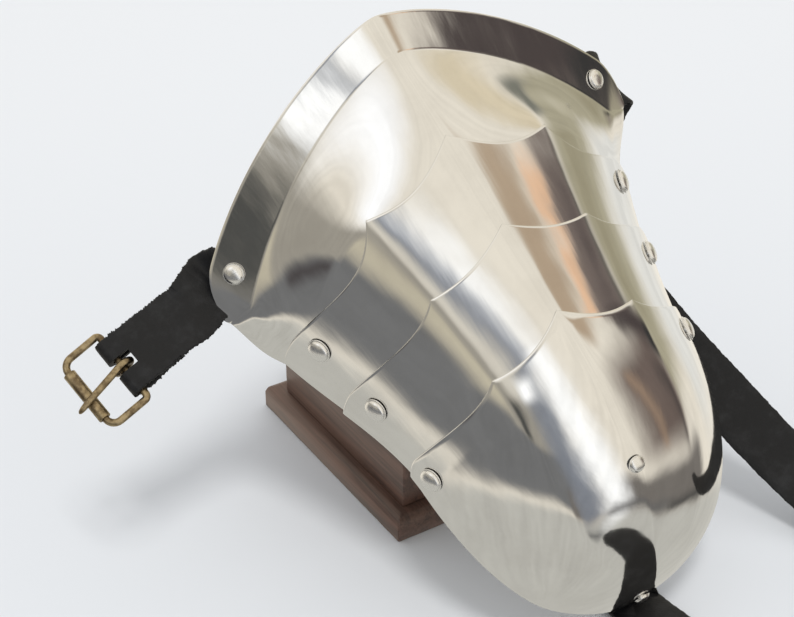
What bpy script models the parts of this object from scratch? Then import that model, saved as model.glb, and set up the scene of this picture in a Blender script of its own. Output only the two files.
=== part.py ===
"""Steel pauldron on a wooden stand.

Four steel plates lie over each other like scales, hinged on rivets at their sides.
Three leather straps and a roller buckle hang on them. Lengths are in metres.

The shell is described in its own frame: share runs across it, 0 on the crown and 1 at
the rivet line, down runs from the first pair of pivot rivets towards the dome, and lift
is the distance of a layer above the flared plate's outer face.
"""
import math

import bmesh
import bpy
import numpy as np
from mathutils import Euler, Matrix, Vector
from mathutils.bvhtree import BVHTree

# Shell: widths
DOME_HALF_WIDTH = 0.0645
FLARE_GAIN = 0.025
FLARE_SPAN = 0.115
STRAIGHT_FROM = 0.070

# Shell: heights over the rivet line, and the side ridges
CROWN_HEIGHT = 0.057
RIDGE_SHARE = 0.50
RIDGE_SOFT = 0.030
CROWN_SLOPE = 0.0150
CROWN_BOW = 0.0204
FLANK_SLOPE = 0.0200
FLANK_BOW = 0.0644
FLANK_BEND = 2.4
EDGE_SHARE = 1.13
DOME_EDGE_SHARE = 1.066
FLARE_EDGE_SHARE = 1.19

# Flared plate: crease, rim band and corner
FLARE_FALL = 0.056
FLARE_BEND = 1.15
CREASE_TOP = -0.079
CREASE_SWEEP = 0.0435
CREASE_BEND = 1.50
CREASE_END = 1.08
RIM_BAND = 0.016
RIM_SWEEP = 0.041
RIM_BEND = 1.58
RIM_RISE = 0.0035
FADE_FROM = -0.022
FADE_SHIFT = 0.012
FADE_SHARE = 0.6
CORNER_SHARE = 1.02
CORNER_ROUND = 0.009

# Dome
DOME_START = 0.048
DOME_REACH = 0.108
DOME_DEPTH = 0.0585
DOME_ROUNDNESS = 2.4

# Plates
STEEL = 0.0012
PLATE_GAP = 0.0006
OVERLAP = 0.009
LOBE = 0.006
LAYER = STEEL + PLATE_GAP
PLATE_CORNER = 0.004
NEST_FROM = -0.060
NEST_SPAN = 0.120

# Upper edge of each outer plate, as distances down: centre cusp, side cusps, shoulder, and
# how far the scallop between the cusps bows
LEADING_EDGES = (
    {"centre": -0.0390, "side": -0.0272, "shoulder": -0.0102, "bow": 0.0035},
    {"centre": 0.0028, "side": 0.0128, "shoulder": 0.0215, "bow": 0.0013},
    {"centre": 0.0425, "side": 0.0522, "shoulder": 0.0591, "bow": 0.0017},
)
SCALLOP_BEND = 4

# Rivets
PIVOT_DOWN = (0.0, 0.033, 0.069)
PIVOT_SHARE = 1.0
PIVOT_HEAD = 0.0054
STRAP_HEAD = 0.0046
SMALL_HEAD = 0.0037
SHANK = 0.0016
HOLE_GAP = 0.0005
SEAT_GAP = 0.0004
TAIL = 0.0031
TAIL_HEIGHT = 0.0010
TAIL_GAP = 0.0005
STRAP_RIVET_SHARE = 1.0
CENTRE_RIVET_DOWN = 0.107
END_RIVET_TURN = math.radians(81.5)
END_RIVET_SHARE = -0.25

# Pose on the stand
TILT = math.radians(40.0)
LEAN = math.radians(-16.0)
TURN = math.radians(-4.0)
SHELL_X = -0.017
SHELL_Y = -0.0726
FLOOR_GAP = 0.0004

# Straps
LEATHER = 0.0024
STRAP_WIDTH = 0.0265
STRAP_GAP = 0.0004
BUCKLE_STRAP_REACH = 0.044
BUCKLE_DROOP = math.radians(16.0)
FOLD_BACK = 0.022
STRAP_TIP = 0.020
STRAP_HEEL = 0.016
END_WIDTH = 0.35
END_STRAP_GAP = 0.0013

# Where the end strap lies on the floor, from its bend: to the right and forwards
END_STRAP_LAY = ((0.0, 0.0), (0.001, 0.012), (0.003, 0.034), (0.001, 0.060), (-0.014, 0.085), (-0.036, 0.104))

# Where the long strap hangs and lies: points on its middle, and the way its width runs there
LONG_STRAP_HANG = (
    ((0.0770, -0.031, 0.170), (0.41, -0.69, -0.58)),
    ((0.0715, -0.036, 0.148), (0.55, -0.62, -0.30)),
    ((0.0690, -0.053, 0.118), (0.72, -0.40, 0.20)),
    ((0.0775, -0.080, 0.0910), (0.80, -0.15, 0.50)),
    ((0.0945, -0.1135, 0.0605), (0.80, -0.08, 0.58)),
    ((0.1135, -0.1480, 0.0300), (0.80, -0.08, 0.58)),
    ((0.1280, -0.1740, 0.0125), (0.86, 0.20, 0.35)),
    ((0.1460, -0.2030, 0.0040), (0.87, 0.48, 0.06)),
    ((0.1640, -0.2330, 0.0016), (0.87, 0.49, 0.0)),
    ((0.1760, -0.2540, 0.0016), (0.87, 0.49, 0.0)),
)

# Buckle
WIRE = 0.0014
BUCKLE_HALF_WIDTH = 0.0151
BUCKLE_DEPTH = 0.0190
BUCKLE_CORNER = 0.0045
HEEL_CORNER = 0.0019
ROLLER_RADIUS = 0.0030
ROLLER_GAP = 0.0003
BAR_GAP = 0.0005
TONGUE_REACH = 0.0255
TONGUE_LEAN = math.radians(-10.0)
SLOT_HALF_WIDTH = 0.0036
SLOT_REACH = 0.0068

# Stand
BASE_WIDTH = 0.100
BASE_LENGTH = 0.130
BASE_HEIGHT = 0.013
BASE_BEVEL = 0.004
BLOCK_INSET = 0.007
BLOCK_LENGTH = 0.112
BLOCK_HEIGHT = 0.070
POST_SIDE = 0.014
POST_X = -0.036
TOUCH = 0.0003

# Fineness of the meshes
CROWN_CELLS = 6
FLANK_CELLS = 6
EDGE_CELLS = 3
WIRE_SIDES = 8
HEAD_SIDES = 14

STEEL_COLOUR = (0.72, 0.72, 0.74)
LEATHER_COLOUR = (0.025, 0.025, 0.028)
BRASS_COLOUR = (0.33, 0.24, 0.12)
WOOD_COLOUR = (0.10, 0.055, 0.035)


def lerp(a, b, t):
    """Value a share t of the way from a to b."""
    return a + (b - a) * t


def smooth(t):
    """Ease from 0 to 1 with flat ends."""
    t = np.clip(t, 0.0, 1.0)
    return t * t * (3.0 - 2.0 * t)


def half_width(down):
    """Half width of the shell at the rivet line: it widens towards the flare."""
    t = np.clip((STRAIGHT_FROM - down) / FLARE_SPAN, 0.0, None)
    return DOME_HALF_WIDTH + FLARE_GAIN * (0.74 * t ** 1.25 + 0.26 * t ** 2)


def ridged_height(share):
    """Height of the section: a low fold on the crown, one on each side, then round flanks."""
    s = np.abs(share)
    crown = np.sqrt(s * s + RIDGE_SOFT ** 2) - RIDGE_SOFT
    past = s - RIDGE_SHARE
    ramp = 0.5 * (past + np.sqrt(past * past + RIDGE_SOFT ** 2))
    flank = FLANK_SLOPE * ramp + FLANK_BOW * np.clip(past, 0.0, None) ** FLANK_BEND
    return CROWN_HEIGHT - CROWN_SLOPE * crown - CROWN_BOW * s * s - flank


def flared_height(share):
    """Height of the section at the crease, where the side ridges have faded."""
    return CROWN_HEIGHT - FLARE_FALL * np.abs(share) ** FLARE_BEND


def crease_down(share):
    """Where the crease below the rim band runs."""
    return CREASE_TOP + CREASE_SWEEP * np.minimum(np.abs(share), CREASE_END) ** CREASE_BEND


def corner_share(share):
    """How far share lies into the rim's rounded corner, from 0 to 1."""
    return np.clip((np.abs(share) - CORNER_SHARE) / (FLARE_EDGE_SHARE - CORNER_SHARE), 0.0, 1.0)


def rim_down(share):
    """Where the rim's edge runs, turning into the side edge at the corner."""
    sweep = RIM_SWEEP * np.abs(share) ** RIM_BEND + CORNER_ROUND * corner_share(share) ** 2
    return CREASE_TOP - RIM_BAND + sweep


def leading_down(plate, share):
    """Upper edge of an outer plate: a cusp on each ridge with hollow scallops between."""
    edge = LEADING_EDGES[plate - 1]
    s = np.abs(share)
    t = np.clip(s / RIDGE_SHARE, 0.0, 1.0)
    inner = lerp(edge["centre"], edge["side"], 1.0 - (1.0 - t) ** 2) + edge["bow"] * np.sin(math.pi * t)
    q = np.clip((s - RIDGE_SHARE) / (1.0 - RIDGE_SHARE), 0.0, 1.0)
    outer = lerp(edge["side"], edge["shoulder"], 1.0 - (1.0 - q) ** SCALLOP_BEND)
    corner = PLATE_CORNER * np.clip((s - 1.0) / (EDGE_SHARE - 1.0), 0.0, 1.0) ** 2
    return np.where(s < RIDGE_SHARE, inner, outer) + corner


def trailing_down(plate, share):
    """Hidden lower edge under the next plate, with a lobe round each pivot rivet."""
    edge = leading_down(plate + 1, share) + OVERLAP
    lobe = smooth((np.abs(share) - 0.78) / 0.12)
    return lerp(edge, PIVOT_DOWN[plate] + LOBE, lobe)


def lifted(across, down, height, lift):
    """Points of the shell in its frame, moved out by lift from an axis inside the shell."""
    across, down, height = np.broadcast_arrays(across, down, height)
    beyond = np.clip(down - DOME_START, 0.0, None)
    out = np.stack([across, -beyond, height + 0.65 * DOME_DEPTH], -1)
    out = out / np.linalg.norm(out, axis=-1, keepdims=True)
    nested = lift - 3.0 * LAYER * smooth((down - NEST_FROM) / NEST_SPAN)
    return np.stack([across, -down, height], -1) + np.expand_dims(nested, -1) * out


def body_point(share, down, lift):
    """A point of the shell between the flared plate and the dome."""
    return lifted(half_width(down) * share, down, ridged_height(share), lift)


def dome_point(share, turn, lift):
    """A point of the dome: the section shrinks to nothing as turn goes from 0 to a quarter."""
    reach = np.sin(turn)
    narrow = np.clip(1.0 - reach ** DOME_ROUNDNESS, 0.0, None) ** (1.0 / DOME_ROUNDNESS)
    down = DOME_START + DOME_REACH * reach
    height = -DOME_DEPTH + np.cos(turn) * (ridged_height(share) + DOME_DEPTH)
    return lifted(narrow * half_width(down) * share, down, height, lift)


def shell_point(share, down, lift):
    """A point of any plate below the flare."""
    turn = np.arcsin(np.clip((down - DOME_START) / DOME_REACH, 0.0, 1.0))
    start = body_point(share, np.minimum(down, DOME_START), lift)
    return np.where(np.expand_dims(down < DOME_START, -1), start, dome_point(share, turn, lift))


def flared_point(share, row, lift):
    """A point of the flared plate: row 0 on the rim, 1 on the crease, 2 on the lower edge."""
    rim = rim_down(share)
    crease = crease_down(share)
    band = np.clip(row, 0.0, 1.0)
    below = np.clip(row - 1.0, 0.0, 1.0)
    down = np.where(row < 1.0, lerp(rim, crease, band), lerp(crease, trailing_down(0, share), below))
    start = FADE_FROM + FADE_SHIFT * smooth((np.abs(share) - FADE_SHARE) / (1.0 - FADE_SHARE))
    fade = smooth((start - down) / (start - np.minimum(crease, FADE_FROM - 0.006)))
    height = lerp(ridged_height(share), flared_height(share), fade)
    rise = RIM_RISE * (1.0 - band) * (1.0 - 0.7 * corner_share(share) ** 2)
    return lifted(half_width(down) * share, down, height, lift + rise)


def columns():
    """Shares across a plate, with a column on each ridge and finer steps at the edges."""
    crown = np.linspace(0.0, RIDGE_SHARE, CROWN_CELLS, endpoint=False)
    flank = np.linspace(RIDGE_SHARE, 1.0, FLANK_CELLS, endpoint=False)
    edge = np.linspace(1.0, EDGE_SHARE, EDGE_CELLS + 1)
    half = np.concatenate([crown, flank, edge])
    return np.concatenate([-half[:0:-1], half])


def narrowed(share, edge_share):
    """Shares whose last stretch ends at edge_share in place of EDGE_SHARE."""
    s = np.abs(share)
    beyond = np.clip(s - 1.0, 0.0, None) * (edge_share - 1.0) / (EDGE_SHARE - 1.0)
    return np.sign(share) * (np.minimum(s, 1.0) + beyond)


def flared_layer(lift):
    """Grid of the flared plate, from the rim to the hidden lower edge."""
    rows = np.concatenate([np.linspace(0.0, 1.0, 3), np.linspace(1.0, 2.0, 9)[1:]])[:, None]
    edge_share = lerp(FLARE_EDGE_SHARE, EDGE_SHARE, smooth(rows - 1.0))
    return flared_point(narrowed(columns()[None, :], edge_share), rows, lift)


def lame_layer(plate, lift):
    """Grid of a middle plate, from its scalloped edge to its hidden lower edge."""
    share = columns()[None, :]
    row = np.linspace(0.0, 1.0, 6)[:, None]
    down = lerp(leading_down(plate, share), trailing_down(plate, share), row)
    edge_share = lerp(EDGE_SHARE, DOME_EDGE_SHARE, smooth(down / STRAIGHT_FROM))
    return shell_point(narrowed(share, edge_share), down, lift)


def dome_layer(lift):
    """Grid of the domed plate, from its scalloped edge to the point at the dome's end."""
    share = columns()[None, :]
    lead = leading_down(3, share)
    turn_of_lead = np.arcsin(np.clip((lead - DOME_START) / DOME_REACH, 0.0, 1.0))
    start = np.where(lead < DOME_START, 0.0, turn_of_lead)
    turn = lerp(start, 0.5 * math.pi, np.linspace(0.0, 1.0, 15)[1:, None] ** 0.92)
    tuck = 1.0 - 0.16 * smooth((turn - 0.9) / 0.67)
    rest = dome_point(narrowed(share, DOME_EDGE_SHARE) * tuck, turn, lift)
    first = shell_point(narrowed(share, DOME_EDGE_SHARE), lead, lift)
    return np.concatenate([first, rest], 0)


def material(name, colour, metallic, roughness):
    """A Principled material with the piece's colour."""
    finish = bpy.data.materials.new(name)
    finish.use_nodes = True
    shader = finish.node_tree.nodes["Principled BSDF"]
    shader.inputs["Base Color"].default_value = (*colour, 1.0)
    shader.inputs["Metallic"].default_value = metallic
    shader.inputs["Roughness"].default_value = roughness
    finish.diffuse_color = (*colour, 1.0)
    return finish


def steel(name):
    """Polished steel for one piece."""
    return material(name, STEEL_COLOUR, 1.0, 0.2)


def leather(name):
    """Black leather for one piece."""
    return material(name, LEATHER_COLOUR, 0.0, 0.55)


def brass(name):
    """Antique brass for one piece."""
    return material(name, BRASS_COLOUR, 1.0, 0.4)


def wood(name):
    """Dark stained wood for one piece."""
    return material(name, WOOD_COLOUR, 0.0, 0.5)


def piece(name, points, faces, finish, parent=None, sharp=40.0):
    """One closed object from points and faces, with its faces turned outwards."""
    mesh = bpy.data.meshes.new(name)
    mesh.from_pydata([tuple(p) for p in points], [], faces)
    work = bmesh.new()
    work.from_mesh(mesh)
    bmesh.ops.remove_doubles(work, verts=work.verts, dist=0.000002)
    bmesh.ops.recalc_face_normals(work, faces=work.faces)
    if work.calc_volume(signed=True) < 0.0:
        bmesh.ops.reverse_faces(work, faces=work.faces)
    work.to_mesh(mesh)
    work.free()
    mesh.shade_smooth()
    mesh.set_sharp_from_angle(angle=math.radians(sharp))
    made = bpy.data.objects.new(name, mesh)
    made.data.materials.append(finish)
    made.parent = parent
    bpy.context.collection.objects.link(made)
    return made


def empty(name, matrix, parent=None):
    """An empty whose frame its pieces are placed in."""
    made = bpy.data.objects.new(name, None)
    made.parent = parent
    made.matrix_local = matrix
    bpy.context.collection.objects.link(made)
    return made


def wall_faces(rows, cols):
    """Faces of a wall: an outer grid, an inner grid and the strip that joins their edges."""
    faces = []
    inner = rows * cols
    for r in range(rows - 1):
        for c in range(cols - 1):
            a = r * cols + c
            quad = (a, a + 1, a + cols + 1, a + cols)
            faces.append(quad)
            faces.append(tuple(inner + i for i in reversed(quad)))
    border = [c for c in range(cols)]
    border += [r * cols + cols - 1 for r in range(1, rows)]
    border += [(rows - 1) * cols + c for c in range(cols - 2, -1, -1)]
    border += [r * cols for r in range(rows - 2, 0, -1)]
    for a, b in zip(border, border[1:] + border[:1]):
        faces.append((b, a, inner + a, inner + b))
    return faces


def wall(name, outer, inner, finish, parent, origin):
    """A closed wall between two grids, with its points counted from origin."""
    rows, cols = outer.shape[:2]
    points = np.concatenate([outer.reshape(-1, 3), inner.reshape(-1, 3)]) - origin
    return piece(name, points, wall_faces(rows, cols), finish, parent)


def turned(name, profile, sides, finish, matrix, parent):
    """A turned piece from (radius, height) pairs that start and end on its axis."""
    angles = np.linspace(0.0, 2.0 * math.pi, sides, endpoint=False)
    points = [(0.0, 0.0, profile[0][1])]
    for radius, height in profile[1:-1]:
        points += [(radius * math.cos(a), radius * math.sin(a), height) for a in angles]
    points.append((0.0, 0.0, profile[-1][1]))
    faces = []
    rings = len(profile) - 2
    last = len(points) - 1
    for i in range(sides):
        j = (i + 1) % sides
        faces.append((0, 1 + j, 1 + i))
        faces.append((last, 1 + (rings - 1) * sides + i, 1 + (rings - 1) * sides + j))
        for r in range(rings - 1):
            a = 1 + r * sides
            faces.append((a + i, a + j, a + sides + j, a + sides + i))
    made = piece(name, points, faces, finish, parent, sharp=50.0)
    made.matrix_local = matrix
    return made


def frame_on(point, outward, along=(0.0, 1.0, 0.0)):
    """Frame at a point whose Z runs outward and whose Y lies near along."""
    z = Vector(outward).normalized()
    x = Vector(along).cross(z).normalized()
    y = z.cross(x)
    return Matrix.Translation(Vector(point)) @ Matrix((x, y, z)).transposed().to_4x4()


def surface_frame(surface, share, down, lift):
    """Frame on the shell at (share, down), with Z along the outward normal."""
    step = 0.0005
    at = surface(np.array(share), np.array(down), lift)
    side = step / DOME_HALF_WIDTH
    across = surface(np.array(share + side), np.array(down), lift) - surface(np.array(share - side), np.array(down), lift)
    along = surface(np.array(share), np.array(down + step), lift) - at
    return frame_on(at, np.cross(along, across))


def flared_by_down(share, down, lift):
    """Point of the rim band half way between the rim and the crease, shifted down."""
    middle = 0.5 * (rim_down(share) + crease_down(share))
    row = 0.5 + (down - middle) / (crease_down(share) - rim_down(share))
    return flared_point(share, row, lift)


def dome_by_turn(share, turn, lift):
    """Point of the dome by its turn, named for use in surface_frame."""
    return dome_point(share, turn, lift)


def rivet_profile(head, stack):
    """Profile of a rivet through a stack of walls: its seat is at height 0."""
    return (
        (0.0, -stack - TAIL_HEIGHT),
        (0.7 * TAIL, -stack - TAIL_HEIGHT),
        (TAIL, -stack - 0.5 * TAIL_HEIGHT),
        (TAIL, -stack),
        (SHANK, -stack),
        (SHANK, 0.0),
        (head, 0.0),
        (head, 0.10 * head),
        (0.86 * head, 0.28 * head),
        (0.58 * head, 0.44 * head),
        (0.25 * head, 0.51 * head),
        (0.0, 0.53 * head),
    )


def hole_cutter(name, frame, parent, reach):
    """A round cutter for a rivet's hole, left out of the model."""
    bpy.ops.mesh.primitive_cylinder_add(vertices=12, radius=SHANK + HOLE_GAP, depth=2.0 * reach)
    cutter = bpy.context.object
    cutter.name = name
    cutter.parent = parent
    cutter.matrix_local = frame
    cutter.hide_render = True
    cutter.display_type = "WIRE"
    return cutter


def cut(target, cutter):
    """Cut a piece with a cutter by an exact Boolean."""
    hole = target.modifiers.new("hole", "BOOLEAN")
    hole.operation = "DIFFERENCE"
    hole.solver = "EXACT"
    hole.object = cutter


def rivet(name, frame, head, stack, walls, parent):
    """A rivet seated on a frame, and its hole through every wall that it passes."""
    seat = frame @ Matrix.Translation((0.0, 0.0, SEAT_GAP))
    made = turned(name, rivet_profile(head, stack + 2.0 * SEAT_GAP), HEAD_SIDES, steel(name), seat, parent)
    cutter = hole_cutter("hole_" + name, frame, parent, stack + 0.004)
    for target in walls:
        cut(target, cutter)
    return made


def ribbon(name, centres, widths, normals, half_widths, finish, parent=None):
    """A leather strap: a flat section carried along a path, one row for each path point."""
    centres = np.array(centres)
    widths = np.array(widths)
    normals = np.array(normals)
    half = np.array(half_widths)[:, None]
    thick = 0.5 * LEATHER
    corners = [
        centres - widths * half + normals * thick,
        centres + widths * half + normals * thick,
        centres + widths * half - normals * thick,
        centres - widths * half - normals * thick,
    ]
    points = np.stack(corners, 1).reshape(-1, 3)
    count = len(centres)
    faces = [(3, 2, 1, 0), tuple(4 * (count - 1) + i for i in range(4))]
    for r in range(count - 1):
        for c in range(4):
            a = 4 * r + c
            b = 4 * r + (c + 1) % 4
            faces.append((a, b, b + 4, a + 4))
    return piece(name, points, faces, finish, parent, sharp=30.0)


def unit(v):
    """Vector of length 1."""
    v = np.array(v, float)
    return v / np.linalg.norm(v, axis=-1, keepdims=True)


def smooth_path(points, count):
    """Evenly spaced points on a smooth curve through the given points."""
    points = np.array(points, float)
    ends = np.concatenate([[2.0 * points[0] - points[1]], points, [2.0 * points[-1] - points[-2]]])
    fine = []
    for i in range(1, len(ends) - 2):
        a, b, c, d = ends[i - 1:i + 3]
        t = np.linspace(0.0, 1.0, 24, endpoint=False)[:, None]
        fine.append(0.5 * (2 * b + (c - a) * t + (2 * a - 5 * b + 4 * c - d) * t ** 2
                           + (3 * b - a - 3 * c + d) * t ** 3))
    fine = np.concatenate(fine + [ends[-2:-1]])
    run = np.concatenate([[0.0], np.cumsum(np.linalg.norm(np.diff(fine[:, :3], axis=0), axis=1))])
    even = np.linspace(0.0, run[-1], count)
    return np.stack([np.interp(even, run, fine[:, k]) for k in range(points.shape[1])], 1)


def shell_rotation():
    """Rotation of the shell on its stand."""
    return Euler((TILT, LEAN, TURN), "XYZ").to_matrix()


def shell_matrix():
    """Place of the shell: its end strap lies on the floor under the dome's lowest point."""
    turn = shell_rotation()
    low = float((dome_layer(3.0 * LAYER).reshape(-1, 3) @ np.array(turn)[2]).min())
    height = FLOOR_GAP + LEATHER + END_STRAP_GAP - low
    return Matrix.Translation((SHELL_X, SHELL_Y, height)) @ turn.to_4x4()


def build_plates(hinges):
    """The four plates, each thickened inwards from its own layer."""
    grids = [flared_layer, lambda lift: lame_layer(1, lift), lambda lift: lame_layer(2, lift), dome_layer]
    names = ("flared_plate", "first_lame", "second_lame", "domed_plate")
    plates = []
    for layer, (name, grid, hinge) in enumerate(zip(names, grids, hinges)):
        outer = grid(layer * LAYER)
        inner = grid(layer * LAYER - STEEL)
        plates.append(wall(name, outer, inner, steel(name), hinge, pivot_centre(layer - 1)))
    return plates


def pivot_centre(joint):
    """Middle of a pivot pair's axis in the shell's frame; the origin for the flared plate."""
    if joint < 0:
        return np.zeros(3)
    at = shell_point(np.array(PIVOT_SHARE), np.array(PIVOT_DOWN[joint]), (joint + 1) * LAYER - 0.5 * LAYER)
    return np.array([0.0, at[1], at[2]])


def build_hinges(shell):
    """Empties on the pivot axes, each carried by the one before."""
    hinges = [shell]
    before = np.zeros(3)
    for joint in range(3):
        centre = pivot_centre(joint)
        hinges.append(empty(f"hinge_{joint + 1}", Matrix.Translation(Vector(centre - before)), hinges[-1]))
        before = centre
    return hinges


def local(frame, joint):
    """A frame of the shell seen from the hinge that carries it."""
    return Matrix.Translation(Vector(-pivot_centre(joint))) @ frame


def build_pivot_rivets(plates, hinges):
    """Three pairs of rivets, each through two plates; the outer plate carries them."""
    for joint, down in enumerate(PIVOT_DOWN):
        for side, sign in (("left", -1.0), ("right", 1.0)):
            frame = surface_frame(shell_point, sign * PIVOT_SHARE, down, (joint + 1) * LAYER)
            rivet(f"pivot_rivet_{side}_{joint + 1}", local(frame, joint), PIVOT_HEAD, 2.0 * STEEL + PLATE_GAP,
                  plates[joint:joint + 2], hinges[joint + 1])


def strap_rivet_frame(sign):
    """Frame of a strap's rivet in the corner of the rim band."""
    share = sign * STRAP_RIVET_SHARE
    middle = 0.5 * (rim_down(np.array(share)) + crease_down(np.array(share)))
    return surface_frame(flared_by_down, share, float(middle), 0.0)


def buckle_matrix(shell):
    """Frame of the buckle: X along its bars, Y from the strap to the roller, Z its face."""
    turn = shell.to_3x3()
    rivet_frame = shell @ strap_rivet_frame(-1.0)
    across = np.array(turn @ Vector((-1.0, 0.0, 0.0)))
    width = np.array(turn @ Vector((0.0, -1.0, 0.0)))
    along = unit(across + math.tan(BUCKLE_DROOP) * np.array([0.0, 0.0, -1.0]))
    width = unit(width - along * np.dot(width, along))
    face = np.cross(along, width)
    if face[2] < 0.0:
        width, face = -width, -face
    start = np.array(rivet_frame @ Vector((0.0, 0.0, -STEEL - STRAP_GAP - 0.5 * LEATHER)))
    place = start + along * (BUCKLE_STRAP_REACH + 0.016)
    return Matrix.Translation(Vector(place)) @ Matrix((-width, along, face)).transposed().to_4x4(), start


def build_buckle_strap(plate, buckle, start, shell):
    """The short strap: from inside the corner, out to the buckle, round its bar and back."""
    turn = np.array(buckle.to_3x3())
    bar = np.array(buckle.translation)
    width, along, face = turn[:, 0], turn[:, 1], turn[:, 2]
    radius = WIRE + BAR_GAP + 0.5 * LEATHER
    rivet_frame = np.array((shell @ strap_rivet_frame(-1.0)).to_3x3())
    inward = -unit(rivet_frame[:, 2] * 0.0 + np.array(shell.to_3x3() @ Vector((-1.0, 0.0, 0.0))))
    inward = unit(inward - rivet_frame[:, 2] * np.dot(inward, rivet_frame[:, 2]))
    under = start
    path = [
        under + inward * 0.009 - rivet_frame[:, 2] * 0.0012,
        under + inward * 0.003 - rivet_frame[:, 2] * 0.0003,
        under,
        under - inward * 0.008 - rivet_frame[:, 2] * 0.0012,
        under - inward * 0.015 - rivet_frame[:, 2] * 0.0030,
        lerp(under - inward * 0.022 - rivet_frame[:, 2] * 0.006, bar + face * radius - along * 0.034, 0.5),
        bar + face * radius - along * 0.030,
        bar + face * radius - along * 0.016,
        bar + face * radius - along * 0.006,
    ]
    top = smooth_path(path, 20)
    fold = [bar + face * radius * math.cos(a) + along * radius * math.sin(a)
            for a in np.linspace(0.0, math.pi, 9)]
    back = [bar - face * radius - along * d for d in np.linspace(0.004, FOLD_BACK, 3)]
    centres = np.concatenate([top, fold, back])
    tangents = unit(np.gradient(centres, axis=0))
    first = unit(np.cross(rivet_frame[:, 2], inward))
    if np.dot(first, width) < 0.0:
        first = -first
    mix = smooth(np.linspace(-0.35, 1.85, len(centres)))[:, None]
    widths = lerp(first, width, mix)
    widths = unit(widths - tangents * np.sum(widths * tangents, axis=1, keepdims=True))
    normals = np.cross(widths, tangents)
    strap = ribbon("buckle_strap", centres, widths, normals, tapered(centres, STRAP_HEEL, 0.0),
                   leather("buckle_strap"))
    bpy.ops.mesh.primitive_cube_add(size=1.0)
    slot = bpy.context.object
    slot.name = "slot_cutter"
    beyond = radius + LEATHER
    middle = buckle @ Vector((0.0, 0.5 * (beyond - SLOT_REACH), 0.0))
    slot.matrix_world = (Matrix.Translation(middle) @ buckle.to_3x3().to_4x4()
                         @ Matrix.Diagonal((2.0 * SLOT_HALF_WIDTH, beyond + SLOT_REACH, 4.0 * radius, 1.0)))
    slot.hide_render = True
    slot.display_type = "WIRE"
    cut(strap, slot)
    return strap


def tube(name, path, radius, finish, parent, closed=False, sides=WIRE_SIDES):
    """A round wire carried along a path."""
    path = np.array(path)
    count = len(path)
    if closed:
        tangent = unit(np.roll(path, -1, 0) - np.roll(path, 1, 0))
    else:
        tangent = unit(np.gradient(path, axis=0))
    normal = np.array([0.0, 0.0, 1.0]) if closed else np.array([1.0, 0.0, 0.0])
    radii = np.broadcast_to(np.array(radius, float), (count,))
    points = []
    for p, t, r in zip(path, tangent, radii):
        a = unit(normal - t * np.dot(normal, t))
        b = np.cross(t, a)
        points += [p + r * (a * math.cos(q) + b * math.sin(q))
                   for q in np.linspace(0.0, 2.0 * math.pi, sides, endpoint=False)]
    faces = []
    for r in range(count if closed else count - 1):
        for c in range(sides):
            a = r * sides + c
            b = r * sides + (c + 1) % sides
            up = (r + 1) % count * sides
            faces.append((a, b, up + (c + 1) % sides, up + c))
    if not closed:
        faces.append(tuple(reversed(range(sides))))
        faces.append(tuple((count - 1) * sides + c for c in range(sides)))
    return piece(name, points, faces, finish, parent)


def build_buckle(buckle):
    """Frame, roller and tongue, each with its origin on the axis that it turns about."""
    bar = empty("buckle_bar", buckle)
    path = []
    for side_x, side_y, start in ((1.0, 0.0, -90.0), (1.0, 1.0, 0.0), (-1.0, 1.0, 90.0), (-1.0, 0.0, 180.0)):
        corner = lerp(HEEL_CORNER, BUCKLE_CORNER, side_y)
        centre_x = side_x * (BUCKLE_HALF_WIDTH - corner)
        centre_y = lerp(corner, BUCKLE_DEPTH - corner, side_y)
        for step in range(5):
            a = math.radians(start + 22.5 * step)
            path.append((centre_x + corner * math.cos(a), centre_y + corner * math.sin(a), 0.0))
    tube("buckle_frame", path, WIRE, brass("buckle_frame"), bar, closed=True)
    front = empty("buckle_front_bar", Matrix.Translation((0.0, BUCKLE_DEPTH, 0.0)), bar)
    build_roller(front)
    build_tongue(bar)


def build_roller(front):
    """A sleeve that turns on the buckle's front bar."""
    half = BUCKLE_HALF_WIDTH - BUCKLE_CORNER - 0.0002
    inner = WIRE + ROLLER_GAP
    sides = 16
    points = []
    for x, radius in ((-half, inner), (-half, ROLLER_RADIUS), (half, ROLLER_RADIUS), (half, inner)):
        points += [(x, radius * math.cos(a), radius * math.sin(a))
                   for a in np.linspace(0.0, 2.0 * math.pi, sides, endpoint=False)]
    faces = []
    for ring in range(4):
        for i in range(sides):
            j = (i + 1) % sides
            a, b = ring * sides, (ring + 1) % 4 * sides
            faces.append((a + i, b + i, b + j, a + j))
    piece("buckle_roller", points, faces, brass("buckle_roller"), front)


def build_tongue(bar):
    """A wire bent round the bar that rests across the roller, leaning to one side."""
    eye = WIRE + BAR_GAP + WIRE
    rest = ROLLER_RADIUS + TOUCH + 0.9 * WIRE
    loop = [(0.0, eye * math.sin(a), eye * math.cos(a)) for a in np.radians(np.linspace(-292.0, 0.0, 13))]
    rod = [(0.0, y, lerp(eye, rest, smooth(y / BUCKLE_DEPTH))) for y in (0.005, 0.010, 0.0145, BUCKLE_DEPTH)]
    tip = [(0.0, lerp(BUCKLE_DEPTH, TONGUE_REACH, 0.6), rest - 0.0001), (0.0, TONGUE_REACH, rest - 0.0007)]
    radii = [WIRE] * len(loop) + [WIRE, WIRE, 0.95 * WIRE, 0.9 * WIRE] + [0.8 * WIRE, 0.5 * WIRE]
    path = np.array(loop + rod + tip)
    lean = np.clip(path[:, 1] / BUCKLE_DEPTH, 0.0, None)
    path[:, 0] = math.tan(TONGUE_LEAN) * BUCKLE_DEPTH * lean
    tube("buckle_tongue", path, radii, brass("buckle_tongue"), bar)


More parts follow.
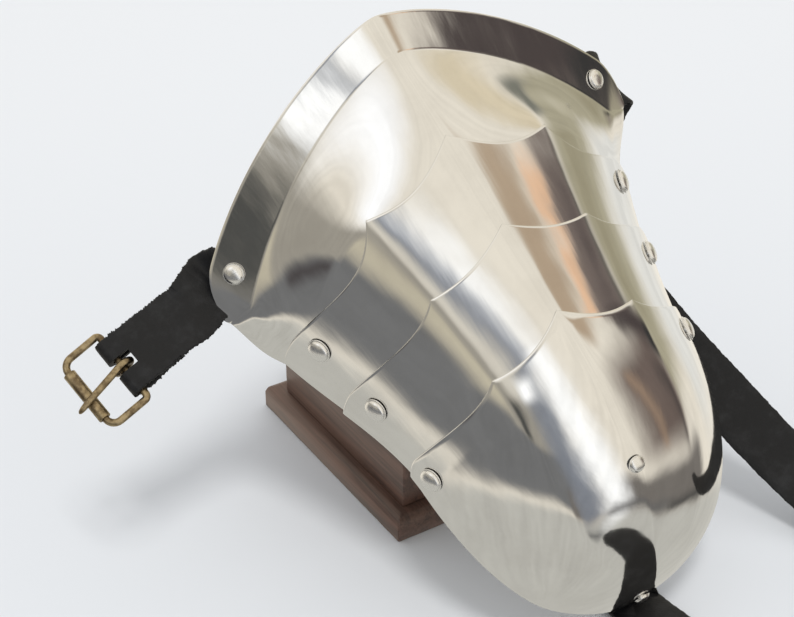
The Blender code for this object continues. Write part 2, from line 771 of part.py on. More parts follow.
def off_floor(centres, widths, normals, half):
    """Centres of a strap raised where a corner of its section would sink into the floor."""
    lowest = centres[:, 2] - half * np.abs(widths[:, 2]) - 0.5 * LEATHER * np.abs(normals[:, 2])
    raised = np.clip(FLOOR_GAP - lowest, 0.0, None)
    return centres + raised[:, None] * (0.0, 0.0, 1.0)


def build_long_strap(shell):
    """The long strap: out of the right corner, over, down behind the shell and off to the right."""
    frame = shell @ strap_rivet_frame(1.0)
    axes = np.array(frame.to_3x3())
    turn = np.array(shell.to_3x3())
    outward = turn[:, 0] - axes[:, 2] * np.dot(turn[:, 0], axes[:, 2])
    outward = unit(outward)
    start = np.array(frame.translation) - axes[:, 2] * (STEEL + STRAP_GAP + 0.5 * LEATHER)
    along = np.cross(outward, axes[:, 2])
    along = along * np.sign(np.dot(along, -turn[:, 1]))
    near = [(-0.009, -0.0012, 0.0), (-0.003, -0.0003, 0.0), (0.006, -0.0008, 0.0), (0.013, -0.0026, 0.0015),
            (0.019, -0.0075, 0.003)]
    rows = [np.concatenate([start + outward * x + axes[:, 2] * z + along * y, along]) for x, z, y in near]
    rows += [np.concatenate([at, unit(width)]) for at, width in LONG_STRAP_HANG]
    even = smooth_path(rows, 50)
    centres = even[:, :3]
    tangents = unit(np.gradient(centres, axis=0))
    widths = unit(even[:, 3:] - tangents * np.sum(even[:, 3:] * tangents, axis=1, keepdims=True))
    normals = np.cross(widths, tangents)
    half = tapered(centres, STRAP_HEEL, STRAP_TIP)
    centres = off_floor(centres, widths, normals, half)
    return ribbon("long_strap", centres, widths, normals, half, leather("long_strap"))


def end_strap_path(shell):
    """Path of the end strap: down inside the dome, a bend under its tip, then along the floor."""
    frame = shell @ surface_frame(dome_by_turn, END_RIVET_SHARE, END_RIVET_TURN, 3.0 * LAYER)
    out = np.array(frame.to_3x3())[:, 2]
    inside = np.array(frame.translation) - out * (STEEL + END_STRAP_GAP + 0.5 * LEATHER)
    aside = dome_point(np.array(END_RIVET_SHARE), np.array(END_RIVET_TURN), 3.0 * LAYER) * (1.0, 0.0, 0.0)
    tip = dome_point(np.array(0.0), np.array(0.5 * math.pi), 3.0 * LAYER) + aside
    tip = np.array(shell @ Vector(tip))
    facing = np.array(shell.to_3x3() @ Vector((0.0, -1.0, 0.0)))
    edge = tip - facing * (STEEL + END_STRAP_GAP + 0.5 * LEATHER)
    down = unit(edge - inside)
    floor = FLOOR_GAP + 0.5 * LEATHER
    forward = unit(np.array([0.0, -1.0, 0.0]) - down * np.dot(down, (0.0, -1.0, 0.0)))
    angle = math.acos(-down[1])
    drop = forward[2] * (1.0 - math.cos(angle)) + down[2] * math.sin(angle)
    bend = (floor - edge[2]) / drop
    hub = edge + forward * bend
    arc = [hub - bend * (forward * math.cos(q) - down * math.sin(q)) for q in np.linspace(0.0, angle, 9)]
    lay = [arc[-1] + np.array([x, -y, 0.0]) for x, y in END_STRAP_LAY]
    along_floor = smooth_path(lay, 16)
    up = unit(out * np.dot(down, out) - down)
    climb = [inside + up * 0.007, inside + up * 0.003, inside - up * 0.003, lerp(inside, edge, 0.75)]
    return np.concatenate([climb, arc, along_floor[1:]]), len(climb) + len(arc)


def build_end_strap(shell, carrier):
    """The strap at the dome's end, flat where it lies on the floor."""
    centres, bent = end_strap_path(shell)
    tangents = unit(np.gradient(centres, axis=0))
    across = np.array(shell.to_3x3())[:, 0]
    level = np.clip((np.arange(len(centres)) - 2.0) / (bent - 5.0), 0.0, 1.0)[:, None]
    widths = unit(lerp(across, np.array([1.0, 0.0, 0.0]), level))
    widths = unit(widths - tangents * np.sum(widths * tangents, axis=1, keepdims=True))
    normals = np.cross(widths, tangents)
    half = tapered(centres, STRAP_HEEL, STRAP_TIP)
    centres = off_floor(centres, widths, normals, half)
    strap = ribbon("end_strap", centres, widths, normals, half, leather("end_strap"))
    strap.parent = carrier
    strap.matrix_parent_inverse = (shell @ Matrix.Translation(Vector(pivot_centre(2)))).inverted()
    return strap


def tapered(centres, head, tail):
    """Half widths of a strap along its path, narrower over its first and last stretch."""
    run = np.concatenate([[0.0], np.linalg.norm(np.diff(centres, axis=0), axis=1).cumsum()])
    narrow = np.ones(len(centres))
    for reach, length in ((run, head), (run[-1] - run, tail)):
        if length > 0.0:
            narrow = np.minimum(narrow, np.sqrt(np.clip(reach / length + END_WIDTH ** 2, 0.0, 1.0)))
    return 0.5 * STRAP_WIDTH * narrow


def box(name, size, centre, bevel, finish):
    """A wooden block with its upper edges bevelled."""
    made = bmesh.new()
    bmesh.ops.create_cube(made, size=1.0)
    bmesh.ops.scale(made, vec=size, verts=made.verts)
    if bevel > 0.0:
        top = [e for e in made.edges if all(v.co.z > 0.0 for v in e.verts)]
        bmesh.ops.bevel(made, geom=top, offset=bevel, segments=2, affect="EDGES", profile=0.5)
    mesh = bpy.data.meshes.new(name)
    made.to_mesh(mesh)
    made.free()
    block = bpy.data.objects.new(name, mesh)
    block.data.materials.append(finish)
    block.location = centre
    bpy.context.collection.objects.link(block)
    return block


def build_stand(plate):
    """Base, block and the hidden post whose top follows the plate's inner face."""
    box("stand_base", (BASE_WIDTH, BASE_LENGTH, BASE_HEIGHT), (0.0, 0.0, 0.5 * BASE_HEIGHT), BASE_BEVEL,
        wood("stand_base"))
    low = BASE_HEIGHT + TOUCH
    high = BLOCK_HEIGHT
    front = BLOCK_INSET - 0.5 * BASE_LENGTH
    box("stand_block", (BASE_WIDTH - 2.0 * BLOCK_INSET, BLOCK_LENGTH, high - low),
        (0.0, front + 0.5 * BLOCK_LENGTH, 0.5 * (low + high)), 0.0, wood("stand_block"))
    build_post(plate, BLOCK_HEIGHT + TOUCH, front + 0.5 * POST_SIDE)


def build_post(plate, foot, centre_y):
    """A square post whose sloping top follows the plate above its front half, a touch below it."""
    bpy.context.view_layer.update()
    tree = BVHTree.FromObject(plate, bpy.context.evaluated_depsgraph_get())
    into = plate.matrix_world.inverted()
    half = 0.5 * POST_SIDE

    def above(x, y):
        """Height of the plate's inner face over a point."""
        hit = tree.ray_cast(into @ Vector((x, y, foot)), into.to_3x3() @ Vector((0.0, 0.0, 1.0)))[0]
        return (plate.matrix_world @ hit).z - 3.0 * TOUCH

    points = []
    for side, back in ((-half, 0), (half, 0), (half, 1), (-half, 1)):
        x = POST_X + side
        front = above(x, centre_y - half)
        rise = above(x, centre_y) - front
        y = centre_y + (2 * back - 1) * half
        points += [(x, y, foot), (x, y, front + 2.0 * back * rise)]
    faces = [(0, 6, 4, 2), (1, 3, 5), (1, 5, 7), (0, 2, 3, 1), (2, 4, 5, 3), (4, 6, 7, 5), (6, 0, 1, 7)]
    piece("stand_post", points, faces, wood("stand_post"))


def main():
    """Build every piece in the order in which the real thing goes together."""
    for old in list(bpy.data.objects):
        bpy.data.objects.remove(old, do_unlink=True)
    shell_at = shell_matrix()
    shell = empty("shell", shell_at)
    hinges = build_hinges(shell)
    bpy.context.view_layer.update()
    plates = build_plates(hinges)
    build_pivot_rivets(plates, hinges)
    buckle, start = buckle_matrix(shell_at)
    buckle_strap = build_buckle_strap(plates[0], buckle, start, shell_at)
    build_buckle(buckle)
    long_strap = build_long_strap(shell_at)
    end_strap = build_end_strap(shell_at, hinges[3])
    stack = STEEL + STRAP_GAP + LEATHER + TAIL_GAP
    rivet("strap_rivet_left", strap_rivet_frame(-1.0), STRAP_HEAD, stack, [plates[0], buckle_strap], shell)
    rivet("strap_rivet_right", strap_rivet_frame(1.0), STRAP_HEAD, stack, [plates[0], long_strap], shell)
    end = surface_frame(dome_by_turn, END_RIVET_SHARE, END_RIVET_TURN, 3.0 * LAYER)
    end_stack = STEEL + END_STRAP_GAP + LEATHER + TAIL_GAP
    rivet("end_rivet", local(end, 2), SMALL_HEAD, end_stack, [plates[3], end_strap], hinges[3])
    centre = surface_frame(shell_point, 0.0, CENTRE_RIVET_DOWN, 3.0 * LAYER)
    rivet("centre_rivet", local(centre, 2), SMALL_HEAD, STEEL + TAIL_GAP, [plates[3]], hinges[3])
    build_stand(plates[0])


main()
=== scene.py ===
"""The steel pauldron on its wooden stand, finished for close views.

Every sub-assembly is a class that holds its sizes and builds its own pieces. The shell's form
is described in its own frame: share runs across it, 0 on the crown and 1 at the rivet line,
down runs from the first pair of pivot rivets towards the dome, and lift is the distance of a
layer above the flared plate's outer face. Lengths are in metres.
"""

import logging
import math
from dataclasses import dataclass, field
from enum import Enum

import bmesh
import bpy
import numpy as np
from mathutils import Euler, Matrix, Vector


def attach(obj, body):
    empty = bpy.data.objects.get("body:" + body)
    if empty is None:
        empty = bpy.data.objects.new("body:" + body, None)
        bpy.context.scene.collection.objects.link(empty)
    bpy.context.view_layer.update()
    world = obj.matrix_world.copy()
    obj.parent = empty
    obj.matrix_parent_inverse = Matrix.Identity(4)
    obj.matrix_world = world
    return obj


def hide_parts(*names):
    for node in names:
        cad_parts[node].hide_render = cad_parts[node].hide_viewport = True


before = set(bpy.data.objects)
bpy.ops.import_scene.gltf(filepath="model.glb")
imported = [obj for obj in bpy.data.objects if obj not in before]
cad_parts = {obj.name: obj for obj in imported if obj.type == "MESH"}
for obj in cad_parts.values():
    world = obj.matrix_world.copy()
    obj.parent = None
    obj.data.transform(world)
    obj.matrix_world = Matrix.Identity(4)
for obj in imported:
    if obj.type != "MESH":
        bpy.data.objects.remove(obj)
log = logging.getLogger("pauldron")


class Body(Enum):
    """Bodies of the assembly that the pieces ride on."""

    ROOT = "root"
    FIRST_LAME = "first_lame"
    SECOND_LAME = "second_lame"
    DOME = "dome"
    BUCKLE = "buckle"
    ROLLER = "roller"
    TONGUE = "tongue"


class Slot(Enum):
    """Finishes that can be swapped on the whole assembly."""

    STEEL = "polished_steel"
    LEATHER = "black_leather"
    BRASS = "antique_brass"
    WOOD = "dark_wood"


MERGED = 0.000004
PLATE_BODIES = (Body.ROOT, Body.FIRST_LAME, Body.SECOND_LAME, Body.DOME)


def lerp(a, b, t):
    """Value a share t of the way from a to b."""
    return a + (b - a) * t


def smooth(t):
    """Ease from 0 to 1 with flat ends."""
    t = np.clip(t, 0.0, 1.0)
    return t * t * (3.0 - 2.0 * t)


def unit(v):
    """Vectors of length 1 along the last axis."""
    v = np.asarray(v, float)
    return v / (np.linalg.norm(v, axis=-1, keepdims=True) + 1e-12)


def smooth_path(points, count: int):
    """Evenly spaced rows on a smooth curve through the given rows.

    Args:
        points: rows whose first three numbers are a place; further numbers are carried along.
        count: how many rows are made.

    Returns:
        The rows, evenly spaced along the path.
    """
    points = np.asarray(points, float)
    ends = np.concatenate([[2.0 * points[0] - points[1]], points, [2.0 * points[-1] - points[-2]]])
    a, b, c, d = (ends[i:len(ends) - 3 + i, None, :] for i in range(4))
    t = np.linspace(0.0, 1.0, 24, endpoint=False)[None, :, None]
    fine = 0.5 * (2 * b + (c - a) * t + (2 * a - 5 * b + 4 * c - d) * t ** 2 + (3 * b - a - 3 * c + d)
                  * t ** 3)
    fine = np.concatenate([fine.reshape(-1, points.shape[1]), ends[-2:-1]])
    run = np.concatenate([[0.0], np.cumsum(np.linalg.norm(np.diff(fine[:, :3], axis=0), axis=1))])
    even = np.linspace(0.0, run[-1], count)
    return np.stack([np.interp(even, run, fine[:, k]) for k in range(points.shape[1])], 1)


class Wave:
    """Socket of a shader graph with arithmetic on it."""

    def __init__(self, graph: "Graph", socket):
        self.graph = graph
        self.socket = socket

    def math(self, operation: str, *values) -> "Wave":
        """A Math node on values."""
        return self.graph.node("ShaderNodeMath", {"operation": operation}, dict(enumerate(values)))

    def __add__(self, other):
        return self.math("ADD", self, other)

    def __radd__(self, other):
        return self.math("ADD", other, self)

    def __sub__(self, other):
        return self.math("SUBTRACT", self, other)

    def __rsub__(self, other):
        return self.math("SUBTRACT", other, self)

    def __mul__(self, other):
        return self.math("MULTIPLY", self, other)

    def __rmul__(self, other):
        return self.math("MULTIPLY", other, self)

    def __abs__(self):
        return self.math("ABSOLUTE", self)

    def step(self, low: float, high: float) -> "Wave":
        """Smooth rise from 0 at low to 1 at high, or a fall where low is the larger."""
        first, last = min(low, high), max(low, high)
        rise = self.graph.node("ShaderNodeMapRange", {"interpolation_type": "SMOOTHSTEP"},
                               {"Value": self, "From Min": first, "From Max": last})
        return rise if low < high else 1.0 - rise


class Graph:
    """Node tree of a material or of the world."""

    def __init__(self, tree):
        self.tree = tree

    def node(self, kind: str, settings: dict, inputs: dict, output=0) -> Wave:
        """One node.

        Args:
            kind: the node's type.
            settings: its settings, set before its sockets.
            inputs: values or waves by socket name or number.
            output: name or number of the socket that is handed back.

        Returns:
            The wave of that output.
        """
        made = self.tree.nodes.new(kind)
        for name, value in settings.items():
            setattr(made, name, value)
        for key, value in inputs.items():
            if isinstance(value, Wave):
                self.tree.links.new(value.socket, made.inputs[key])
            else:
                made.inputs[key].default_value = value
        return Wave(self, made.outputs[output])

    def mix(self, share, first, second) -> Wave:
        """Colour that goes from first to second as share goes from 0 to 1."""
        made = self.tree.nodes.new("ShaderNodeMix")
        made.data_type = "RGBA"
        sockets = {"Factor": 0, "A": 6, "B": 7}
        for name, value in (("Factor", share), ("A", first), ("B", second)):
            socket = made.inputs[sockets[name]]
            if isinstance(value, Wave):
                self.tree.links.new(value.socket, socket)
            else:
                socket.default_value = value if name == "Factor" else (*value, 1.0)
        return Wave(self, made.outputs[2])

    def place(self, stretch=(1.0, 1.0, 1.0), turn=(0.0, 0.0, 0.0)) -> Wave:
        """Object coordinates, turned and stretched."""
        at = self.node("ShaderNodeTexCoord", {}, {}, "Object")
        return self.node("ShaderNodeMapping", {}, {"Vector": at, "Scale": stretch, "Rotation": turn})

    def stretched(self, at: Wave, stretch) -> Wave:
        """Coordinates stretched along their axes."""
        return self.node("ShaderNodeMapping", {}, {"Vector": at, "Scale": stretch})

    def noise(self, at: Wave, scale: float, detail: float = 3.0, roughness: float = 0.55,
              distortion: float = 0.0) -> Wave:
        """Noise between 0 and 1."""
        return self.node("ShaderNodeTexNoise", {}, {"Vector": at, "Scale": scale, "Detail": detail,
                                                    "Roughness": roughness, "Distortion": distortion}, 0)

    def bump(self, height: Wave, distance: float, strength: float = 1.0, under=None) -> Wave:
        """Normal bumped by a height."""
        inputs = {"Height": height, "Distance": distance, "Strength": strength}
        if under is not None:
            inputs["Normal"] = under
        return self.node("ShaderNodeBump", {}, inputs)


class Finish:
    """Base of the finishes: a Principled material that is made once and shared."""

    name = "finish"
    slot = Slot.STEEL

    def __init__(self):
        self.made = None

    def material(self) -> bpy.types.Material:
        """The finish's material, made on its first use."""
        if self.made is None:
            self.made = bpy.data.materials.new(self.name)
            self.made.use_nodes = True
            graph = Graph(self.made.node_tree)
            shader = self.made.node_tree.nodes["Principled BSDF"]
            for key, value in self.sockets(graph).items():
                if isinstance(value, Wave):
                    graph.tree.links.new(value.socket, shader.inputs[key])
                else:
                    shader.inputs[key].default_value = value
        return self.made

    def sockets(self, graph: Graph) -> dict:
        """Values and waves of the shader's sockets."""
        raise NotImplementedError

    def on(self, piece: bpy.types.Object) -> bpy.types.Object:
        """Put the finish on a piece."""
        piece.data.materials.clear()
        piece.data.materials.append(self.material())
        return piece


class PolishedSteel(Finish):
    """Bright steel with faint hand-worked waves and polishing marks that run down the shell."""

    name = "polished steel"
    slot = Slot.STEEL

    def sockets(self, graph: Graph) -> dict:
        back = tuple(Place().matrix().to_3x3().inverted().to_euler("XYZ"))
        at = graph.place(turn=back)
        wave = graph.noise(graph.stretched(at, (1.0, 0.55, 1.0)), 44.0, 1.5, 0.45)
        band = graph.noise(graph.stretched(at, (1.0, 0.06, 1.0)), 190.0, 2.0, 0.5)
        streak = graph.noise(graph.stretched(at, (1.0, 0.04, 1.0)), 1600.0, 2.0, 0.6)
        cloud = graph.noise(at, 60.0, 4.0, 0.6)
        soft = graph.bump(wave, 0.0011, 0.42)
        fine = graph.bump(band, 0.00006, 0.5, soft)
        normal = graph.bump(streak, 0.000004, 0.6, fine)
        tint = graph.mix(cloud.step(0.35, 0.75), (0.755, 0.755, 0.75), (0.715, 0.712, 0.705))
        return {"Base Color": tint, "Metallic": 1.0, "Roughness": 0.065 + 0.06 * cloud * streak,
                "Normal": normal}


class TurnedSteel(Finish):
    """Satin steel of the rivets, with faint file marks."""

    name = "satin steel"
    slot = Slot.STEEL

    def sockets(self, graph: Graph) -> dict:
        file = graph.noise(graph.place(), 900.0, 3.0, 0.6)
        return {"Base Color": (0.78, 0.78, 0.775, 1.0), "Metallic": 1.0, "Roughness": 0.20 + 0.14 * file,
                "Normal": graph.bump(file, 0.00005, 0.5)}


class ShadedEdgeSteel(Finish):
    """Sawn and filed edge of a plate: duller than its face, and painted dark as the shade line under the
    edge.
    """

    name = "steel edge with painted shade"
    slot = Slot.STEEL

    def sockets(self, graph: Graph) -> dict:
        file = graph.noise(graph.place(), 1500.0, 2.0, 0.6)
        # The dark base colour is painted shade standing for the shadow line under the plate's edge; the
        # roughness is the filed edge's own.
        return {"Base Color": (0.17, 0.165, 0.16, 1.0), "Metallic": 1.0, "Roughness": 0.34 + 0.2 * file}


class BlackLeather(Finish):
    """Near-black bridle leather: fine pores, soft creases and a dull wax shine."""

    name = "black leather"
    slot = Slot.LEATHER

    def sockets(self, graph: Graph) -> dict:
        at = graph.place()
        pores = graph.node("ShaderNodeTexVoronoi", {"feature": "F1"}, {"Vector": at, "Scale": 1500.0}, 0)
        grain = graph.noise(at, 700.0, 4.0, 0.6)
        crease = graph.noise(graph.place((1.0, 0.35, 0.6)), 180.0, 3.0, 0.6, 0.6)
        worn = graph.noise(at, 90.0, 4.0, 0.65)
        height = 0.5 * pores + 0.5 * grain + 0.7 * crease
        tint = graph.mix(worn.step(0.45, 0.75), (0.0075, 0.0078, 0.0090), (0.019, 0.0195, 0.021))
        return {"Base Color": tint, "Roughness": 0.42 + 0.2 * grain, "Specular IOR Level": 0.30,
                "Normal": graph.bump(height, 0.00022, 0.6)}


class AntiqueBrass(Finish):
    """Brown antique brass, rubbed brighter in places."""

    name = "antique brass"
    slot = Slot.BRASS

    def sockets(self, graph: Graph) -> dict:
        at = graph.place()
        patina = graph.noise(at, 260.0, 4.0, 0.65)
        fine = graph.noise(at, 1500.0, 2.0, 0.6)
        tint = graph.mix(patina.step(0.35, 0.65), (0.40, 0.32, 0.195), (0.155, 0.115, 0.07))
        return {"Base Color": tint, "Metallic": 1.0, "Roughness": 0.26 + 0.22 * patina,
                "Normal": graph.bump(fine, 0.00006, 0.5)}


class DarkWood(Finish):
    """Dark brown stained wood with a long grain and a thin satin coat."""

    name = "dark wood"
    slot = Slot.WOOD

    def sockets(self, graph: Graph) -> dict:
        along = graph.place((1.0, 0.07, 1.0))
        grain = graph.noise(along, 150.0, 5.0, 0.65, 0.8)
        fibre = graph.noise(graph.place((1.0, 0.02, 1.0)), 900.0, 3.0, 0.6)
        shade = (0.65 * grain + 0.35 * fibre).step(0.32, 0.68)
        tint = graph.mix(shade, (0.042, 0.021, 0.015), (0.150, 0.078, 0.054))
        return {"Base Color": tint, "Roughness": 0.42 + 0.15 * fibre, "Coat Weight": 0.25,
                "Coat Roughness": 0.25,
                "Normal": graph.bump(fibre + grain, 0.00018, 0.5)}


STEEL = PolishedSteel()
SATIN_STEEL = TurnedSteel()
# Edge finish whose dark colour is painted shade.
SHADED_EDGE_STEEL = ShadedEdgeSteel()
LEATHER = BlackLeather()
BRASS = AntiqueBrass()
WOOD = DarkWood()


def surface(name: str, points, faces, finish: Finish, body: Body, replaced: list[str],
            sharp: float = 38.0, second=None, marks=None) -> bpy.types.Object:
    """One closed piece with its place in its mesh, riding on a body.

    Args:
        name: the piece's name.
        points: vertices in the world.
        faces: vertex numbers of each face.
        finish: what it is made of.
        body: the body that carries it.
        replaced: nodes that it stands for.
        sharp: edges above this angle, in degrees, stay sharp.
        second: another finish, for the faces that are marked.
        marks: 1 for each face of the second finish, 0 for the others.

    Returns:
        The piece.
    """
    mesh = bpy.data.meshes.new(name)
    mesh.from_pydata(np.asarray(points).tolist(), [], [list(f) for f in faces])
    if marks is not None:
        mesh.polygons.foreach_set("material_index", np.asarray(marks, np.int32))
    work = bmesh.new()
    work.from_mesh(mesh)
    bmesh.ops.remove_doubles(work, verts=work.verts, dist=MERGED)
    bmesh.ops.recalc_face_normals(work, faces=work.faces)
    if work.calc_volume(signed=True) < 0.0:
        bmesh.ops.reverse_faces(work, faces=work.faces)
    work.to_mesh(mesh)
    work.free()
    piece = shown(name, mesh, finish, body, replaced, sharp)
    if second is not None:
        piece.data.materials.append(second.material())
    return piece


def shown(name: str, mesh, finish: Finish, body: Body, replaced: list[str], sharp: float = 38.0):
    """A mesh as a finished piece: shaded, given its finish and carried by its body."""
    mesh.shade_smooth()
    mesh.set_sharp_from_angle(angle=math.radians(sharp))
    piece = bpy.data.objects.new(name, mesh)
    bpy.context.collection.objects.link(piece)
    finish.on(piece)
    if replaced:
        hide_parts(*replaced)
    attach(piece, body.value)
    log.info("%s: %d faces", name, len(mesh.polygons))
    return piece


def grid_faces(rows: int, cols: int, closed_rows: bool = False, closed_cols: bool = False):
    """Quads of a grid of vertices, whose rows or columns may run round to the first."""
    r = np.arange(rows if closed_rows else rows - 1)[:, None]
    c = np.arange(cols if closed_cols else cols - 1)[None, :]
    up, right = (r + 1) % rows, (c + 1) % cols
    quads = np.stack([r * cols + c, r * cols + right, up * cols + right, up * cols + c], -1)
    return quads.reshape(-1, 4)


@dataclass(frozen=True)
class Shell:
    """Form that the four plates share, in its own frame."""

    dome_half_width: float = 0.0645
    flare_gain: float = 0.025
    flare_span: float = 0.115
    straight_from: float = 0.070
    crown_height: float = 0.057
    ridge_share: float = 0.50
    ridge_soft: float = 0.030
    crown_slope: float = 0.0150
    crown_bow: float = 0.0204
    flank_slope: float = 0.0200
    flank_bow: float = 0.0644
    flank_bend: float = 2.4
    edge_share: float = 1.13
    dome_edge_share: float = 1.066
    flare_edge_share: float = 1.19
    flare_fall: float = 0.056
    flare_bend: float = 1.15
    crease_top: float = -0.079
    crease_sweep: float = 0.0435
    crease_bend: float = 1.50
    crease_end: float = 1.08
    rim_band: float = 0.016
    rim_sweep: float = 0.041
    rim_bend: float = 1.58
    rim_rise: float = 0.0035
    fade_from: float = -0.022
    fade_shift: float = 0.012
    fade_share: float = 0.6
    corner_from: float = 1.02
    corner_round: float = 0.009
    dome_start: float = 0.048
    dome_reach: float = 0.108
    dome_depth: float = 0.0585
    dome_roundness: float = 2.4
    axis_depth: float = 0.65
    steel: float = 0.0012
    layer: float = 0.0018
    overlap: float = 0.009
    lobe: float = 0.006
    lobe_from: float = 0.78
    lobe_span: float = 0.12
    plate_corner: float = 0.004
    nest_from: float = -0.060
    nest_span: float = 0.120
    scallop_bend: float = 4.0
    pivot_down: tuple = (0.0, 0.033, 0.069)
    leading: tuple = (
        (-0.0390, -0.0272, -0.0102, 0.0035),
        (0.0028, 0.0128, 0.0215, 0.0013),
        (0.0425, 0.0522, 0.0591, 0.0017),
    )

    def half_width(self, down):
        """Half width at the rivet line: it widens towards the flare."""
        t = np.clip((self.straight_from - down) / self.flare_span, 0.0, None)
        return self.dome_half_width + self.flare_gain * (0.74 * t ** 1.25 + 0.26 * t ** 2)

    def ridged_height(self, share):
        """Height of the section: a low fold on the crown, one on each side, then round flanks.

        The height falls from the crown along the root of share squared, less a bow, and past
        the side fold a soft ramp and a power of the way beyond it take the flank down.
        """
        s = np.abs(share)
        crown = np.sqrt(s * s + self.ridge_soft ** 2) - self.ridge_soft
        past = s - self.ridge_share
        ramp = 0.5 * (past + np.sqrt(past * past + self.ridge_soft ** 2))
        flank = self.flank_slope * ramp + self.flank_bow * np.clip(past, 0.0, None) ** self.flank_bend
        return self.crown_height - self.crown_slope * crown - self.crown_bow * s * s - flank

    def flared_height(self, share):
        """Height of the section at the crease, where the side folds have faded."""
        s = np.sqrt(share * share + 0.0004) - 0.02
        return self.crown_height - self.flare_fall * s ** self.flare_bend

    def crease_down(self, share):
        """Where the crease below the rim band runs."""
        return (self.crease_top + self.crease_sweep
                * np.minimum(np.abs(share), self.crease_end) ** self.crease_bend)

    def corner_share(self, share):
        """How far share lies into the rim's rounded corner, from 0 to 1."""
        return np.clip((np.abs(share) - self.corner_from) / (self.flare_edge_share - self.corner_from),
                       0.0, 1.0)

    def rim_down(self, share):
        """Where the rim's edge runs, turning into the side edge at the corner."""
        sweep = self.rim_sweep * np.abs(share) ** self.rim_bend
        return self.crease_top - self.rim_band + sweep + self.corner_round * self.corner_share(share) ** 2

    def leading_down(self, plate: int, share):
        """Upper edge of an outer plate: a cusp on each fold with hollow scallops between."""
        centre, side, shoulder, bow = self.leading[plate - 1]
        s = np.abs(share)
        t = np.clip(s / self.ridge_share, 0.0, 1.0)
        inner = lerp(centre, side, 1.0 - (1.0 - t) ** 2) + bow * np.sin(math.pi * t)
        q = np.clip((s - self.ridge_share) / (1.0 - self.ridge_share), 0.0, 1.0)
        outer = lerp(side, shoulder, 1.0 - (1.0 - q) ** self.scallop_bend)
        corner = self.plate_corner * np.clip((s - 1.0) / (self.edge_share - 1.0), 0.0, 1.0) ** 2
        return np.where(s < self.ridge_share, inner, outer) + corner

    def trailing_down(self, plate: int, share):
        """Hidden lower edge under the next plate, with a lobe round each pivot rivet."""
        edge = self.leading_down(plate + 1, share) + self.overlap
        lobe = smooth((np.abs(share) - self.lobe_from) / self.lobe_span)
        return lerp(edge, self.pivot_down[plate] + self.lobe, lobe)

    def lifted(self, across, down, height, lift):
        """Points of the shell, moved out by lift from an axis inside it."""
        across, down, height = np.broadcast_arrays(across, down, height)
        beyond = np.clip(down - self.dome_start, 0.0, None)
        out = unit(np.stack([across, -beyond, height + self.axis_depth * self.dome_depth], -1))
        nested = lift - 3.0 * self.layer * smooth((down - self.nest_from) / self.nest_span)
        return np.stack([across, -down, height], -1) + np.expand_dims(nested, -1) * out

    def turn_of(self, down):
        """Turn of the dome at a distance down."""
        return np.arcsin(np.clip((down - self.dome_start) / self.dome_reach, 0.0, 1.0))

    def dome_point(self, share, turn, lift):
        """A point of the dome: the section shrinks to nothing as turn goes to a quarter."""
        reach = np.sin(turn)
        narrow = np.clip(1.0 - reach ** self.dome_roundness, 0.0, None) ** (1.0 / self.dome_roundness)
        down = self.dome_start + self.dome_reach * reach
        height = -self.dome_depth + np.cos(turn) * (self.ridged_height(share) + self.dome_depth)
        return self.lifted(narrow * self.half_width(down) * share, down, height, lift)

    def point(self, share, down, lift):
        """A point of any plate below the flare."""
        flat = np.minimum(down, self.dome_start)
        start = self.lifted(self.half_width(flat) * share, flat, self.ridged_height(share), lift)
        bent = self.dome_point(share, self.turn_of(down), lift)
        return np.where(np.expand_dims(down < self.dome_start, -1), start, bent)

    def flared_point(self, share, row, lift):
        """A point of the flared plate: row 0 on the rim, 1 on the crease, 2 on the lower edge."""
        rim = self.rim_down(share)
        crease = self.crease_down(share)
        band = np.clip(row, 0.0, 1.0)
        below = np.clip(row - 1.0, 0.0, 1.0)
        down = np.where(row < 1.0, lerp(rim, crease, band),
                        lerp(crease, self.trailing_down(0, share), below))
        start = (self.fade_from + self.fade_shift
                 * smooth((np.abs(share) - self.fade_share) / (1.0 - self.fade_share)))
        fade = smooth((start - down) / (start - np.minimum(crease, self.fade_from - 0.006)))
        height = lerp(self.ridged_height(share), self.flared_height(share), fade)
        rise = self.rim_rise * (1.0 - band) * (1.0 - 0.7 * self.corner_share(share) ** 2)
        return self.lifted(self.half_width(down) * share, down, height, lift + rise)

    def narrowed(self, share, edge_share):
        """Shares whose last stretch ends at edge_share."""
        s = np.abs(share)
        beyond = np.clip(s - 1.0, 0.0, None) * (edge_share - 1.0) / (self.edge_share - 1.0)
        return np.sign(share) * (np.minimum(s, 1.0) + beyond)


@dataclass(frozen=True)
class Place:
    """Where the shell stands: its end strap lies on the floor under the dome."""

    tilt: float = math.radians(40.0)
    lean: float = math.radians(-16.0)
    turn: float = math.radians(-4.0)
    at: tuple = (-0.017, -0.0726, 0.14357)

    def matrix(self) -> Matrix:
        """The shell's frame in the world."""
        turned = Euler((self.tilt, self.lean, self.turn), "XYZ").to_matrix().to_4x4()
        return Matrix.Translation(self.at) @ turned

    def axes(self):
        """Axes of the shell's frame, one in each column."""
        return np.array(self.matrix().to_3x3())

    def world(self, points):
        """Points of the shell's frame in the world."""
        return np.asarray(points) @ self.axes().T + np.array(self.at)


